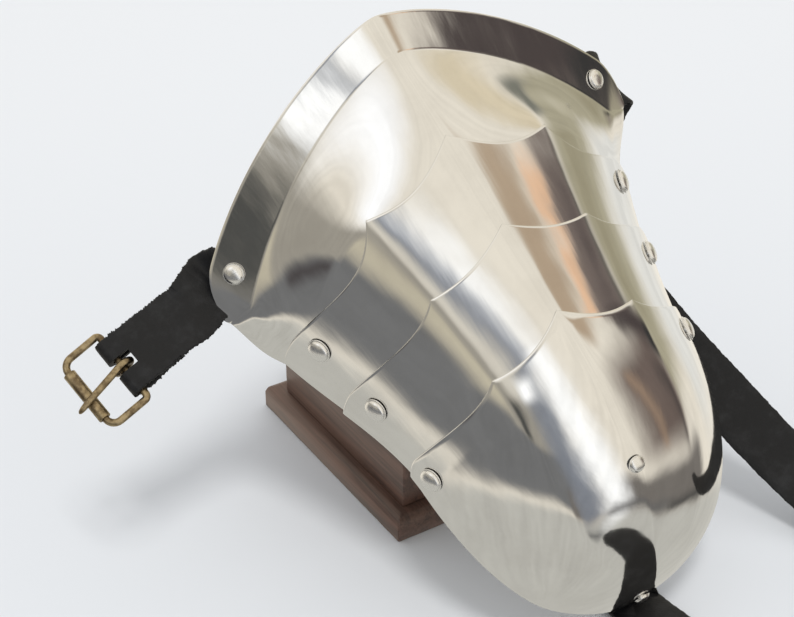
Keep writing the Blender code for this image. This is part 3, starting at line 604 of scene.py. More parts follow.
@dataclass
class Plates:
    """The four steel plates, from the flared one to the domed one."""

    shell: Shell
    place: Place
    crown_cells: int = 46
    flank_cells: int = 50
    edge_cells: int = 9
    edge_steps: int = 7
    bright_strips: int = 2
    tuck: float = 0.16
    tuck_from: float = 0.9
    tuck_span: float = 0.67
    names: tuple = ("flared_plate", "first_lame", "second_lame", "domed_plate")

    def columns(self):
        """Shares across a plate, with a column on each fold."""
        crown = np.linspace(0.0, self.shell.ridge_share, self.crown_cells, endpoint=False)
        flank = np.linspace(self.shell.ridge_share, 1.0, self.flank_cells, endpoint=False)
        edge = np.linspace(1.0, self.shell.edge_share, self.edge_cells + 1)
        half = np.concatenate([crown, flank, edge])
        return np.concatenate([-half[:0:-1], half])[None, :]

    def flared_layer(self, lift: float):
        """Grid of the flared plate, from the rim to the hidden lower edge."""
        rows = np.concatenate([np.linspace(0.0, 1.0, 19), np.linspace(1.0, 2.0, 96)[1:]])[:, None]
        edge_share = lerp(self.shell.flare_edge_share, self.shell.edge_share, smooth(rows - 1.0))
        return self.shell.flared_point(self.shell.narrowed(self.columns(), edge_share), rows, lift)

    def lame_layer(self, plate: int, lift: float):
        """Grid of a middle plate, from its scalloped edge to its hidden lower edge."""
        share = self.columns()
        row = np.linspace(0.0, 1.0, 64)[:, None]
        down = lerp(self.shell.leading_down(plate, share), self.shell.trailing_down(plate, share), row)
        edge_share = lerp(self.shell.edge_share, self.shell.dome_edge_share,
                          smooth(down / self.shell.straight_from))
        return self.shell.point(self.shell.narrowed(share, edge_share), down, lift)

    def dome_layer(self, lift: float):
        """Grid of the domed plate, from its scalloped edge to the point at the dome's end."""
        share = self.columns()
        lead = self.shell.leading_down(3, share)
        start = np.where(lead < self.shell.dome_start, 0.0, self.shell.turn_of(lead))
        turn = lerp(start, 0.5 * math.pi, np.linspace(0.0, 1.0, 150)[1:, None] ** 0.92)
        tuck = 1.0 - self.tuck * smooth((turn - self.tuck_from) / self.tuck_span)
        across = self.shell.narrowed(share, self.shell.dome_edge_share)
        rest = self.shell.dome_point(across * tuck, turn, lift)
        return np.concatenate([self.shell.point(across, lead, lift), rest], 0)

    def wall(self, outer, inner):
        """Closed wall between two grids, with a half-round edge.

        The border of the outer grid is carried to that of the inner grid along a half circle
        that swells by half the wall's thickness, away from the next row or column.

        Args:
            outer: grid of points of the outer face.
            inner: grid of points of the inner face.

        Returns:
            Points, faces, and a mark of 1 on each face of the edge's duller part, which is painted dark as
            the edge's shade line.
        """
        rows, cols = outer.shape[:2]
        number = np.arange(rows * cols).reshape(rows, cols)
        border = np.concatenate([number[0, :-1], number[:-1, -1], number[-1, :0:-1], number[:0:-1, 0]])
        next_in = np.concatenate([number[1, :-1], number[:-1, -2], number[-2, :0:-1], number[:0:-1, 1]])
        flat_out, flat_in = outer.reshape(-1, 3), inner.reshape(-1, 3)
        a, b = flat_out[border], flat_in[border]
        away = unit(a - flat_out[next_in])
        last = slice(cols - 1 + rows - 1, 2 * (cols - 1) + rows - 1)
        if np.ptp(outer[-1], axis=0).max() < 1e-6:
            away[last] = unit(away[last].mean(0))
        half = 0.5 * np.linalg.norm(a - b, axis=1, keepdims=True)
        angle = np.linspace(0.0, math.pi, self.edge_steps)[1:-1, None, None]
        rings = lerp(a[None], b[None], 0.5 - 0.5 * np.cos(angle)) + away[None] * half[None] * np.sin(angle)
        points = np.concatenate([flat_out, flat_in, rings.reshape(-1, 3)])
        face = grid_faces(rows, cols)
        count = rows * cols
        loops = [border] + [2 * count + i * len(border) + np.arange(len(border)) for i in range(len(angle))]
        loops.append(border + count)
        strips = [np.stack([p, q, np.roll(q, -1), np.roll(p, -1)], 1) for p, q in zip(loops, loops[1:])]
        faces = np.concatenate([face, face[:, ::-1] + count] + strips)
        marks = np.zeros(len(faces), int)
        # Faces past the bright strips take the edge finish whose dark colour is painted shade.
        marks[2 * len(face) + self.bright_strips * len(border):] = 1
        return points, faces, marks

    def build(self) -> None:
        """All four plates."""
        grids = (self.flared_layer, lambda lift: self.lame_layer(1, lift),
                 lambda lift: self.lame_layer(2, lift), self.dome_layer)
        for number, (name, grid, body) in enumerate(zip(self.names, grids, PLATE_BODIES)):
            lift = number * self.shell.layer
            points, faces, marks = self.wall(grid(lift), grid(lift - self.shell.steel))
            faces, marks = tidy_quads(points, faces, marks)
            # The second finish paints the shade line along each plate's edge.
            surface(name + "_polished", self.place.world(points), faces, STEEL, body, [name],
                    second=SHADED_EDGE_STEEL, marks=marks)


def tidy_quads(points, faces, marks=None):
    """Faces with the corners that fall together counted once, and none with fewer than three."""
    keys = np.round(points / MERGED).astype(np.int64)
    same = np.all(keys[faces] == keys[np.roll(faces, -1, 1)], axis=2)
    marks = np.zeros(len(faces), int) if marks is None else marks
    plain = ~same.any(axis=1)
    kept, kept_marks = faces[plain].tolist(), marks[plain].tolist()
    for quad, gone, mark in zip(faces[~plain], same[~plain], marks[~plain]):
        rest = [int(v) for v, g in zip(quad, gone) if not g]
        if len(rest) > 2:
            kept.append(rest)
            kept_marks.append(mark)
    return kept, kept_marks


@dataclass
class Rivets:
    """Domed steel rivets, each seated on the plate that carries it."""

    shell: Shell
    place: Place
    pivot_head: float = 0.0054
    strap_head: float = 0.0046
    small_head: float = 0.0037
    shank: float = 0.0016
    seat_gap: float = 0.0004
    tail: float = 0.0031
    tail_height: float = 0.0010
    sides: int = 48
    end_turn: float = math.radians(81.5)
    end_share: float = -0.25
    centre_down: float = 0.107

    def profile(self, head: float, stack: float):
        """Outline of a rivet from its tail to its crown: a thin flange, a ring and a dome."""
        angle = np.linspace(0.0, 0.5 * math.pi, 12)
        dome = [(0.90 * head * math.cos(a), (0.12 + 0.40 * math.sin(a)) * head) for a in angle]
        return np.array([
            (0.0, -stack - self.tail_height), (0.62 * self.tail, -stack - self.tail_height),
            (0.9 * self.tail, -stack - 0.75 * self.tail_height),
            (self.tail, -stack - 0.4 * self.tail_height),
            (self.tail, -stack), (self.shank, -stack), (self.shank, 0.0), (0.98 * head, 0.0),
            (head, 0.03 * head), (head, 0.08 * head), (0.98 * head, 0.11 * head),
            (0.925 * head, 0.105 * head),
        ] + dome)

    def rivet(self, node: str, matrix, head: float, stack: float, body: Body):
        """One rivet, turned on its seat's frame."""
        profile = self.profile(head, stack)
        angle = np.linspace(0.0, 2.0 * math.pi, self.sides, endpoint=False)[None, :]
        radius, height = profile[:, :1], profile[:, 1:]
        ring = np.stack([radius * np.cos(angle), radius * np.sin(angle), height + 0.0 * angle], -1)
        axes, at = matrix
        points = self.place.world(ring.reshape(-1, 3) @ axes.T + at + axes[:, 2] * self.seat_gap)
        faces = grid_faces(len(profile), self.sides, closed_cols=True)
        return surface(node + "_turned", points, tidy_quads(points, faces)[0], SATIN_STEEL, body, [node],
                       sharp=44.0)

    def frame_at(self, form, share: float, along: float, lift: float):
        """Axes and place on a form, with the third axis along the outward normal."""
        step = 0.0005
        side = step / self.shell.dome_half_width
        at = form(np.array(share), np.array(along), lift)
        across = (form(np.array(share + side), np.array(along), lift)
                  - form(np.array(share - side), np.array(along), lift))
        down = form(np.array(share), np.array(along + step), lift) - at
        z = unit(np.cross(down, across))
        x = unit(np.cross((0.0, 1.0, 0.0), z))
        return np.stack([x, np.cross(z, x), z], 1), at

    def strap_frame(self, sign: float):
        """Seat of a strap's rivet, half way between the rim and the crease."""
        share = np.array(sign)
        middle = float(0.5 * (self.shell.rim_down(share) + self.shell.crease_down(share)))

        def banded(across, down, lift):
            """Point of the rim band at a distance down."""
            here = 0.5 * (self.shell.rim_down(across) + self.shell.crease_down(across))
            row = 0.5 + (down - here) / (self.shell.crease_down(across) - self.shell.rim_down(across))
            return self.shell.flared_point(across, row, lift)

        return self.frame_at(banded, sign, middle, 0.0)

    def end_frame(self):
        """Seat of the rivet at the dome's end."""
        return self.frame_at(self.shell.dome_point, self.end_share, self.end_turn, 3.0 * self.shell.layer)

    def build(self) -> None:
        """Three pairs of pivot rivets, two strap rivets and the two on the dome."""
        steel = self.shell.steel
        for joint, down in enumerate(self.shell.pivot_down):
            for side, sign in (("left", -1.0), ("right", 1.0)):
                seat = self.frame_at(self.shell.point, sign, down, (joint + 1) * self.shell.layer)
                self.rivet(f"pivot_rivet_{side}_{joint + 1}", seat, self.pivot_head,
                           2.0 * steel + 0.0006 + 2.0 * self.seat_gap, PLATE_BODIES[joint + 1])
        for side, sign in (("left", -1.0), ("right", 1.0)):
            self.rivet(f"strap_rivet_{side}", self.strap_frame(sign), self.strap_head, steel + 0.0041,
                       Body.ROOT)
        self.rivet("end_rivet", self.end_frame(), self.small_head, steel + 0.0050, Body.DOME)
        centre = self.frame_at(self.shell.point, 0.0, self.centre_down, 3.0 * self.shell.layer)
        self.rivet("centre_rivet", centre, self.small_head, steel + 0.0013, Body.DOME)


@dataclass
class Buckle:
    """Roller buckle at the end of the short strap: a wire frame, a roller and a tongue."""

    place: Place
    rivets: Rivets
    strap_reach: float = 0.044
    droop: float = math.radians(16.0)
    wire: float = 0.0016
    half: float = 0.0168
    depth: float = 0.0190
    corner: float = 0.0045
    heel_corner: float = 0.0019
    roller: float = 0.0027
    roller_gap: float = 0.0003
    bar_gap: float = 0.0005
    tongue_reach: float = 0.0255
    tongue_lean: float = math.radians(-10.0)
    axes: np.ndarray = field(init=False)
    at: np.ndarray = field(init=False)
    start: np.ndarray = field(init=False)

    def __post_init__(self):
        turn = self.place.axes()
        along = unit(-turn[:, 0] - math.tan(self.droop) * np.array([0.0, 0.0, 1.0]))
        width = unit(-turn[:, 1] + along * np.dot(turn[:, 1], along))
        face = np.cross(along, width)
        if face[2] < 0.0:
            width, face = -width, -face
        axes, at = self.rivets.strap_frame(-1.0)
        rivet_z = turn @ axes[:, 2]
        self.start = self.place.world(at) - rivet_z * (self.rivets.shell.steel + 0.0004 + 0.0012)
        self.at = self.start + along * (self.strap_reach + 0.016)
        self.axes = np.stack([-width, along, face], 1)

    def world(self, points):
        """Points of the buckle's frame in the world."""
        return np.asarray(points) @ self.axes.T + self.at

    def tube(self, node: str, path, radius, body: Body, closed: bool, sides: int = 20):
        """A round wire along a path of the buckle's frame."""
        path = np.asarray(path, float)
        radius = np.broadcast_to(np.asarray(radius, float), (len(path),))
        if closed:
            tangent = unit(np.roll(path, -1, 0) - np.roll(path, 1, 0))
            normal = np.array([0.0, 0.0, 1.0])
        else:
            tangent = unit(np.gradient(path, axis=0))
            normal = np.array([1.0, 0.0, 0.0])
        a = unit(normal - tangent * (tangent @ normal)[:, None])
        b = np.cross(tangent, a)
        angle = np.linspace(0.0, 2.0 * math.pi, sides, endpoint=False)[None, :, None]
        rings = (path[:, None] + radius[:, None, None]
                 * (a[:, None] * np.cos(angle) + b[:, None] * np.sin(angle)))
        points = rings.reshape(-1, 3)
        faces = grid_faces(len(path), sides, closed_rows=closed, closed_cols=True).tolist()
        if not closed:
            faces += [list(range(sides))[::-1], list(range(len(points) - sides, len(points)))]
        return surface(node + "_cast", self.world(points), faces, BRASS, body, [node])

    def build(self) -> None:
        """Frame, roller and tongue."""
        path = []
        for side_x, side_y, start in ((1.0, 0.0, -90.0), (1.0, 1.0, 0.0), (-1.0, 1.0, 90.0),
                                      (-1.0, 0.0, 180.0)):
            corner = lerp(self.heel_corner, self.corner, side_y)
            centre_x = side_x * (self.half - corner)
            centre_y = lerp(corner, self.depth - corner, side_y)
            for angle in np.radians(start + np.linspace(0.0, 90.0, 13)):
                path.append((centre_x + corner * math.cos(angle), centre_y + corner * math.sin(angle), 0.0))
        self.tube("buckle_frame", path, self.wire, Body.BUCKLE, True)
        self.build_roller()
        self.build_tongue()

    def build_roller(self) -> None:
        """A sleeve with turned-in ends that rolls on the front bar."""
        half = self.half - self.corner - 0.0002
        inner = self.wire + self.roller_gap
        edge = 0.0004
        profile = np.array([(-half, inner), (-half, self.roller - edge),
                            (-half + 0.3 * edge, self.roller - 0.3 * edge),
                            (-half + edge, self.roller), (half - edge, self.roller),
                            (half - 0.3 * edge, self.roller - 0.3 * edge), (half, self.roller - edge),
                            (half, inner)])
        angle = np.linspace(0.0, 2.0 * math.pi, 40, endpoint=False)[None, :]
        x, r = profile[:, :1], profile[:, 1:]
        points = np.stack([x + 0.0 * angle, self.depth + r * np.cos(angle), r * np.sin(angle)],
                          -1).reshape(-1, 3)
        faces = grid_faces(len(profile), 40, closed_rows=True, closed_cols=True)
        surface("buckle_roller_rolled", self.world(points), faces, BRASS, Body.ROLLER, ["buckle_roller"])

    def build_tongue(self) -> None:
        """A wire bent round the bar that rests across the roller, leaning to one side."""
        eye = self.wire + self.bar_gap + self.wire
        rest = self.roller + 0.0003 + 0.9 * self.wire
        loop = [(0.0, eye * math.sin(a), eye
                 * math.cos(a)) for a in np.radians(np.linspace(-292.0, 0.0, 37))]
        ahead = np.linspace(0.001, self.depth, 20)
        rod = [(0.0, y, lerp(eye, rest, smooth(y / self.depth))) for y in ahead]
        tip = [(0.0, lerp(self.depth, self.tongue_reach, t), rest - 0.0007 * t ** 2) for t in (0.3, 0.6,
                                                                                               0.8, 0.93,
                                                                                               1.0)]
        radius = [self.wire] * len(loop) + list(lerp(self.wire, 0.9 * self.wire, ahead / self.depth))
        radius += [0.87 * self.wire, 0.78 * self.wire, 0.66 * self.wire, 0.48 * self.wire, 0.2 * self.wire]
        path = np.array(loop + rod + tip)
        path[:, 0] = math.tan(self.tongue_lean) * np.clip(path[:, 1], 0.0, None)
        self.tube("buckle_tongue", path, radius, Body.TONGUE, False)


@dataclass
class Straps:
    """The three leather straps."""

    shell: Shell
    place: Place
    rivets: Rivets
    buckle: Buckle
    thick: float = 0.0024
    width: float = 0.0265
    gap: float = 0.0004
    tip: float = 0.020
    heel: float = 0.016
    end_width: float = 0.35
    end_gap: float = 0.0013
    floor_gap: float = 0.0004
    fold_back: float = 0.022
    slot_half: float = 0.0034
    slot_reach: float = 0.0062
    twist_from: float = 0.012
    twist_reach: float = 0.036
    seed: int = 5
    lay: tuple = ((0.0, 0.0), (0.001, 0.012), (0.003, 0.034), (0.001, 0.060), (-0.014, 0.085),
                  (-0.036, 0.104))
    hang: tuple = (
        ((0.0770, -0.031, 0.170), (0.41, -0.69, -0.58)),
        ((0.0715, -0.036, 0.148), (0.55, -0.62, -0.30)),
        ((0.0690, -0.053, 0.118), (0.72, -0.40, 0.20)),
        ((0.0775, -0.080, 0.0910), (0.80, -0.15, 0.50)),
        ((0.0945, -0.1135, 0.0605), (0.80, -0.08, 0.58)),
        ((0.1135, -0.1480, 0.0300), (0.80, -0.08, 0.58)),
        ((0.1280, -0.1740, 0.0125), (0.86, 0.20, 0.35)),
        ((0.1460, -0.2030, 0.0040), (0.87, 0.48, 0.06)),
        ((0.1640, -0.2330, 0.0016), (0.87, 0.49, 0.0)),
        ((0.1760, -0.2540, 0.0016), (0.87, 0.49, 0.0)),
    )

    def tapered(self, centres, head: float, tail: float):
        """Half widths along a path, narrower over its first and last stretch."""
        run = np.concatenate([[0.0], np.linalg.norm(np.diff(centres, axis=0), axis=1).cumsum()])
        narrow = np.ones(len(centres))
        for reach, length in ((run, head), (run[-1] - run, tail)):
            if length > 0.0:
                narrow = np.minimum(narrow,
                                    np.sqrt(np.clip(reach / length + self.end_width ** 2, 0.0, 1.0)))
        return 0.5 * self.width * narrow

    def ribbon(self, centres, widths, half, rough: float, fray: float = 0.3, sides: int = 9):
        """Points and faces of a strap along a path.

        Its section is a flat strip with round edges: points run over the top, round one edge,
        back below and round the other. Each edge wanders by a few tenths of a millimetre.

        Args:
            centres: path of its middle.
            widths: direction of its width at each row.
            half: half width at each row.
            rough: how far its edges wander.
            fray: share of that from row to row.
            sides: points over its top and as many below.

        Returns:
            Points and faces.
        """
        tangent = unit(np.gradient(centres, axis=0))
        widths = unit(widths - tangent * np.sum(widths * tangent, axis=1, keepdims=True))
        normal = np.cross(widths, tangent)
        thick = 0.5 * self.thick
        round_part = np.linspace(-0.5 * math.pi, 0.5 * math.pi, 7)
        flat = np.linspace(-1.0, 1.0, sides)
        edge = 0.55 * thick
        across = np.concatenate([flat, np.ones(7), flat[::-1], -np.ones(7)])
        swell = np.concatenate([np.zeros(sides), edge * np.cos(round_part), np.zeros(sides), -edge
                                * np.cos(round_part)])
        up = np.concatenate([thick * (1.0 - 0.10 * flat ** 8), -0.9 * thick * np.sin(round_part),
                             -thick * (1.0 - 0.10 * flat ** 8), 0.9 * thick * np.sin(round_part)])
        draw = np.random.default_rng(self.seed)
        wander = np.stack([np.convolve(draw.normal(size=len(centres) + 4), (0.15, 0.25, 0.3, 0.2, 0.1),
                                       "valid")
                           + fray * draw.normal(size=len(centres)) for _ in range(2)], 1) * rough
        side = np.where(across > 0.0, 1, 0)
        reach = ((half[:, None] - edge) * across[None] + swell[None] + wander[:, side]
                 * np.abs(across)[None] ** 6)
        points = centres[:, None] + widths[:, None] * reach[..., None] + normal[:, None] * up[None, :, None]
        count = points.shape[1]
        faces = grid_faces(len(centres), count, closed_cols=True).tolist()
        total = len(centres) * count
        faces += [list(range(count))[::-1], list(range(total - count, total))]
        return points.reshape(-1, 3), faces

    def off_floor(self, centres, widths, half):
        """Centres raised where a corner of the section would sink into the floor."""
        tangent = unit(np.gradient(centres, axis=0))
        normal = np.cross(widths, tangent)
        lowest = centres[:, 2] - half * np.abs(widths[:, 2]) - 0.5 * self.thick * np.abs(normal[:, 2])
        return centres + np.clip(self.floor_gap - lowest, 0.0, None)[:, None] * (0.0, 0.0, 1.0)

    def levelled(self, centres, widths, half):
        """Widths turned level where one side of the strap would sink into the floor."""
        tangent = unit(np.gradient(centres, axis=0))
        widths = unit(widths - tangent * np.sum(widths * tangent, axis=1, keepdims=True))
        level = unit(np.cross((0.0, 0.0, 1.0), tangent))
        level = level * np.sign(np.sum(level * widths, axis=1, keepdims=True))
        room = np.clip(centres[:, 2] - self.floor_gap - 0.5 * self.thick, 0.0, None) / half
        share = np.clip(room / np.maximum(np.abs(widths[:, 2]), 0.0001), 0.0, 1.0)
        return unit(lerp(level, widths, share[:, None]))

    def fine(self, centres, widths, half, count: int):
        """The same path with evenly spaced, closer rows."""
        rows = smooth_path(np.concatenate([centres, widths, half[:, None]], 1), count)
        return rows[:, :3], unit(rows[:, 3:6]), rows[:, 6]

    def build_buckle_strap(self) -> None:
        """The short strap: from inside the corner, out to the buckle, round its bar and back."""
        width, along, face = self.buckle.axes.T
        bar, start = self.buckle.at, self.buckle.start
        radius = self.buckle.wire + self.buckle.bar_gap + 0.5 * self.thick
        turn = self.place.axes()
        outward = turn @ self.rivets.strap_frame(-1.0)[0][:, 2]
        inward = unit(turn[:, 0] - outward * np.dot(turn[:, 0], outward))
        near = ((0.009, 0.0012), (0.003, 0.0003), (0.0, 0.0), (-0.006, 0.0008), (-0.012, 0.0024))
        path = [start + inward * x - outward * z for x, z in near]
        heights = ((0.037, -0.50), (0.027, 0.0), (0.016, 0.45), (0.006, 0.97))
        path += [bar + face * radius * share - along * x for x, share in heights]
        top = smooth_path(path, 20)
        fold = [bar + radius * (face * math.cos(a) + along * math.sin(a)) for a in np.linspace(0.0,
                                                                                               math.pi, 9)]
        back = [bar - face * radius * share - along * x for x,
                share in ((0.0055, 0.97), (0.014, 0.55), (self.fold_back, 0.5))]
        centres = np.concatenate([top, fold, back])
        first = unit(np.cross(outward, inward))
        first = first * np.sign(np.dot(first, width))
        run = np.concatenate([[0.0], np.linalg.norm(np.diff(centres, axis=0), axis=1).cumsum()])
        share = smooth((run - self.twist_from) / self.twist_reach)
        widths = unit(lerp(first, width, share[:, None]))
        half = self.tapered(centres, self.heel, 0.0)
        centres, widths, half = self.fine(centres, widths, half, 420)
        points, faces = self.ribbon(centres, widths, half, 0.00034, 0.4)
        strap = surface("buckle_strap_cut", points, faces, LEATHER, Body.ROOT, ["buckle_strap"], sharp=50.0)
        self.cut_slot(strap, radius + self.thick, 2.0 * radius)

    def cut_slot(self, strap, beyond: float, tall: float) -> None:
        """Cut the slot for the tongue through the strap's fold and keep the result as the mesh."""
        mesh = bpy.data.meshes.new("slot_cutter")
        work = bmesh.new()
        bmesh.ops.create_cube(work, size=1.0)
        work.to_mesh(mesh)
        work.free()
        cutter = bpy.data.objects.new("slot_cutter", mesh)
        bpy.context.collection.objects.link(cutter)
        middle = self.buckle.world((0.0, 0.5 * (beyond - self.slot_reach), 0.0))
        turn = Matrix(self.buckle.axes.tolist()).to_4x4()
        size = Matrix.Diagonal((2.0 * self.slot_half, beyond + self.slot_reach, 2.0 * tall, 1.0))
        cutter.matrix_world = Matrix.Translation(middle) @ turn @ size
        hole = strap.modifiers.new("slot", "BOOLEAN")
        hole.operation = "DIFFERENCE"
        hole.solver = "EXACT"
        hole.object = cutter
        bpy.context.view_layer.update()
        cut = bpy.data.meshes.new_from_object(strap.evaluated_get(bpy.context.evaluated_depsgraph_get()))
        strap.modifiers.clear()
        strap.data = cut
        bpy.data.objects.remove(cutter, do_unlink=True)

    def build_long_strap(self) -> None:
        """The long strap: out of the right corner, over, down behind the shell and off to the right."""
        turn = self.place.axes()
        axes, at = self.rivets.strap_frame(1.0)
        up = turn @ axes[:, 2]
        outward = unit(turn[:, 0] - up * np.dot(turn[:, 0], up))
        start = self.place.world(at) - up * (self.shell.steel + self.gap + 0.5 * self.thick)
        along = np.cross(outward, up)
        along = along * np.sign(np.dot(along, -turn[:, 1]))
        near = ((-0.009, -0.0012, 0.0, 0.0), (-0.003, -0.0003, 0.0, 0.0), (0.006, -0.0008, 0.0012, 0.05),
                (0.0135, -0.0026, 0.0046, 0.15), (0.0215, -0.0075, 0.0080, 0.24))
        rows = [np.concatenate([start + outward * x + up * z + along * y, along + outward * lean])
                for x, z, y, lean in near]
        rows += [np.concatenate([place, unit(width)]) for place, width in self.hang]
        even = smooth_path(rows, 50)
        centres = even[:, :3]
        tangent = unit(np.gradient(centres, axis=0))
        widths = unit(even[:, 3:] - tangent * np.sum(even[:, 3:] * tangent, axis=1, keepdims=True))
        half = self.tapered(centres, self.heel, self.tip)
        centres = self.off_floor(centres, widths, half)
        centres, widths, half = self.fine(centres, widths, half, 420)
        points, faces = self.ribbon(centres, widths, half, 0.00022)
        surface("long_strap_cut", points, faces, LEATHER, Body.ROOT, ["long_strap"], sharp=50.0)

    def build_end_strap(self) -> None:
        """The strap at the dome's end: down inside it, a bend under its tip, then along the floor."""
        turn = self.place.axes()
        axes, at = self.rivets.end_frame()
        out = turn @ axes[:, 2]
        inside = self.place.world(at) - out * (self.shell.steel + self.end_gap + 0.5 * self.thick)
        lift = 3.0 * self.shell.layer
        aside = at * (1.0, 0.0, 0.0)
        tip = self.place.world(self.shell.dome_point(np.array(0.0), np.array(0.5 * math.pi), lift) + aside)
        edge = tip + turn[:, 1] * (self.shell.steel + self.end_gap + 0.5 * self.thick)
        down = unit(edge - inside)
        forward = unit(np.array([0.0, -1.0, 0.0]) + down * down[1])
        angle = math.acos(-down[1])
        drop = forward[2] * (1.0 - math.cos(angle)) + down[2] * math.sin(angle)
        bend = (self.floor_gap + 0.5 * self.thick - edge[2]) / drop
        hub = edge + forward * bend
        arc = [hub - bend * (forward * math.cos(q) - down * math.sin(q)) for q in np.linspace(0.0, angle,
                                                                                              9)]
        lay = smooth_path([arc[-1] + np.array([x, -y, 0.0]) for x, y in self.lay], 16)
        up = unit(out * np.dot(down, out) - down)
        climb = [inside + up * 0.007, inside + up * 0.003, inside - up * 0.003, lerp(inside, edge, 0.75)]
        centres = np.concatenate([climb, arc, lay[1:]])
        bent = len(climb) + len(arc)
        tangent = unit(np.gradient(centres, axis=0))
        level = np.clip((np.arange(len(centres)) - 2.0) / (bent - 5.0), 0.0, 1.0)[:, None]
        widths = unit(lerp(turn[:, 0], np.array([1.0, 0.0, 0.0]), level))
        widths = unit(widths - tangent * np.sum(widths * tangent, axis=1, keepdims=True))
        half = self.tapered(centres, self.heel, self.tip)
        centres = self.off_floor(centres, widths, half)
        centres, widths, half = self.fine(centres, widths, half, 300)
        widths = self.levelled(centres, widths, half)
        points, faces = self.ribbon(centres, widths, half, 0.00022)
        surface("end_strap_cut", points, faces, LEATHER, Body.DOME, ["end_strap"], sharp=50.0)

    def build(self) -> None:
        """All three straps."""
        self.build_buckle_strap()
        self.build_long_strap()
        self.build_end_strap()


@dataclass
class Stand:
    """The wooden stand: a bevelled base, a block on it and a plain post that carries the shell."""

    base: tuple = (0.100, 0.130, 0.013)
    base_bevel: float = 0.004
    block: tuple = (0.086, 0.112)
    block_low: float = 0.0133
    block_high: float = 0.070
    soft_edge: float = 0.0007

    def block_mesh(self, size, centre, bevel: float):
        """A box with a bevelled top edge and all its edges softened."""
        work = bmesh.new()
        bmesh.ops.create_cube(work, size=1.0)
        bmesh.ops.scale(work, vec=size, verts=work.verts)
        if bevel > 0.0:
            top = [e for e in work.edges if all(v.co.z > 0.0 for v in e.verts)]
            bmesh.ops.bevel(work, geom=top, offset=bevel, segments=2, affect="EDGES", profile=0.5)
        hard = [e for e in work.edges if e.calc_face_angle(0.0) > math.radians(30.0)]
        bmesh.ops.bevel(work, geom=hard, offset=self.soft_edge, segments=3, affect="EDGES", profile=0.5)
        bmesh.ops.translate(work, vec=centre, verts=work.verts)
        return work

    def build(self) -> None:
        """Base, block and post."""
        front = 0.007 - 0.5 * self.base[1]
        high = self.block_high - self.block_low
        parts = (
            ("stand_base", self.base, (0.0, 0.0, 0.5 * self.base[2]), self.base_bevel),
            ("stand_block", (*self.block, high),
             (0.0, front + 0.5 * self.block[1], 0.5 * (self.block_low + self.block_high)), 0.0),
        )
        for node, size, centre, bevel in parts:
            mesh = bpy.data.meshes.new(node)
            work = self.block_mesh(size, centre, bevel)
            work.to_mesh(mesh)
            work.free()
            shown(node + "_stained", mesh, WOOD, Body.ROOT, [node], sharp=30.0)
        WOOD.on(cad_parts["stand_post"])


@dataclass(frozen=True)
class Panel:
    """A soft-edged patch of the studio's tent, in degrees: a turned rectangle on its inside."""

    azimuth: float
    elevation: float
    half_width: float
    half_height: float
    colour: tuple
    turn: float = 0.0
    soft: float = 4.0


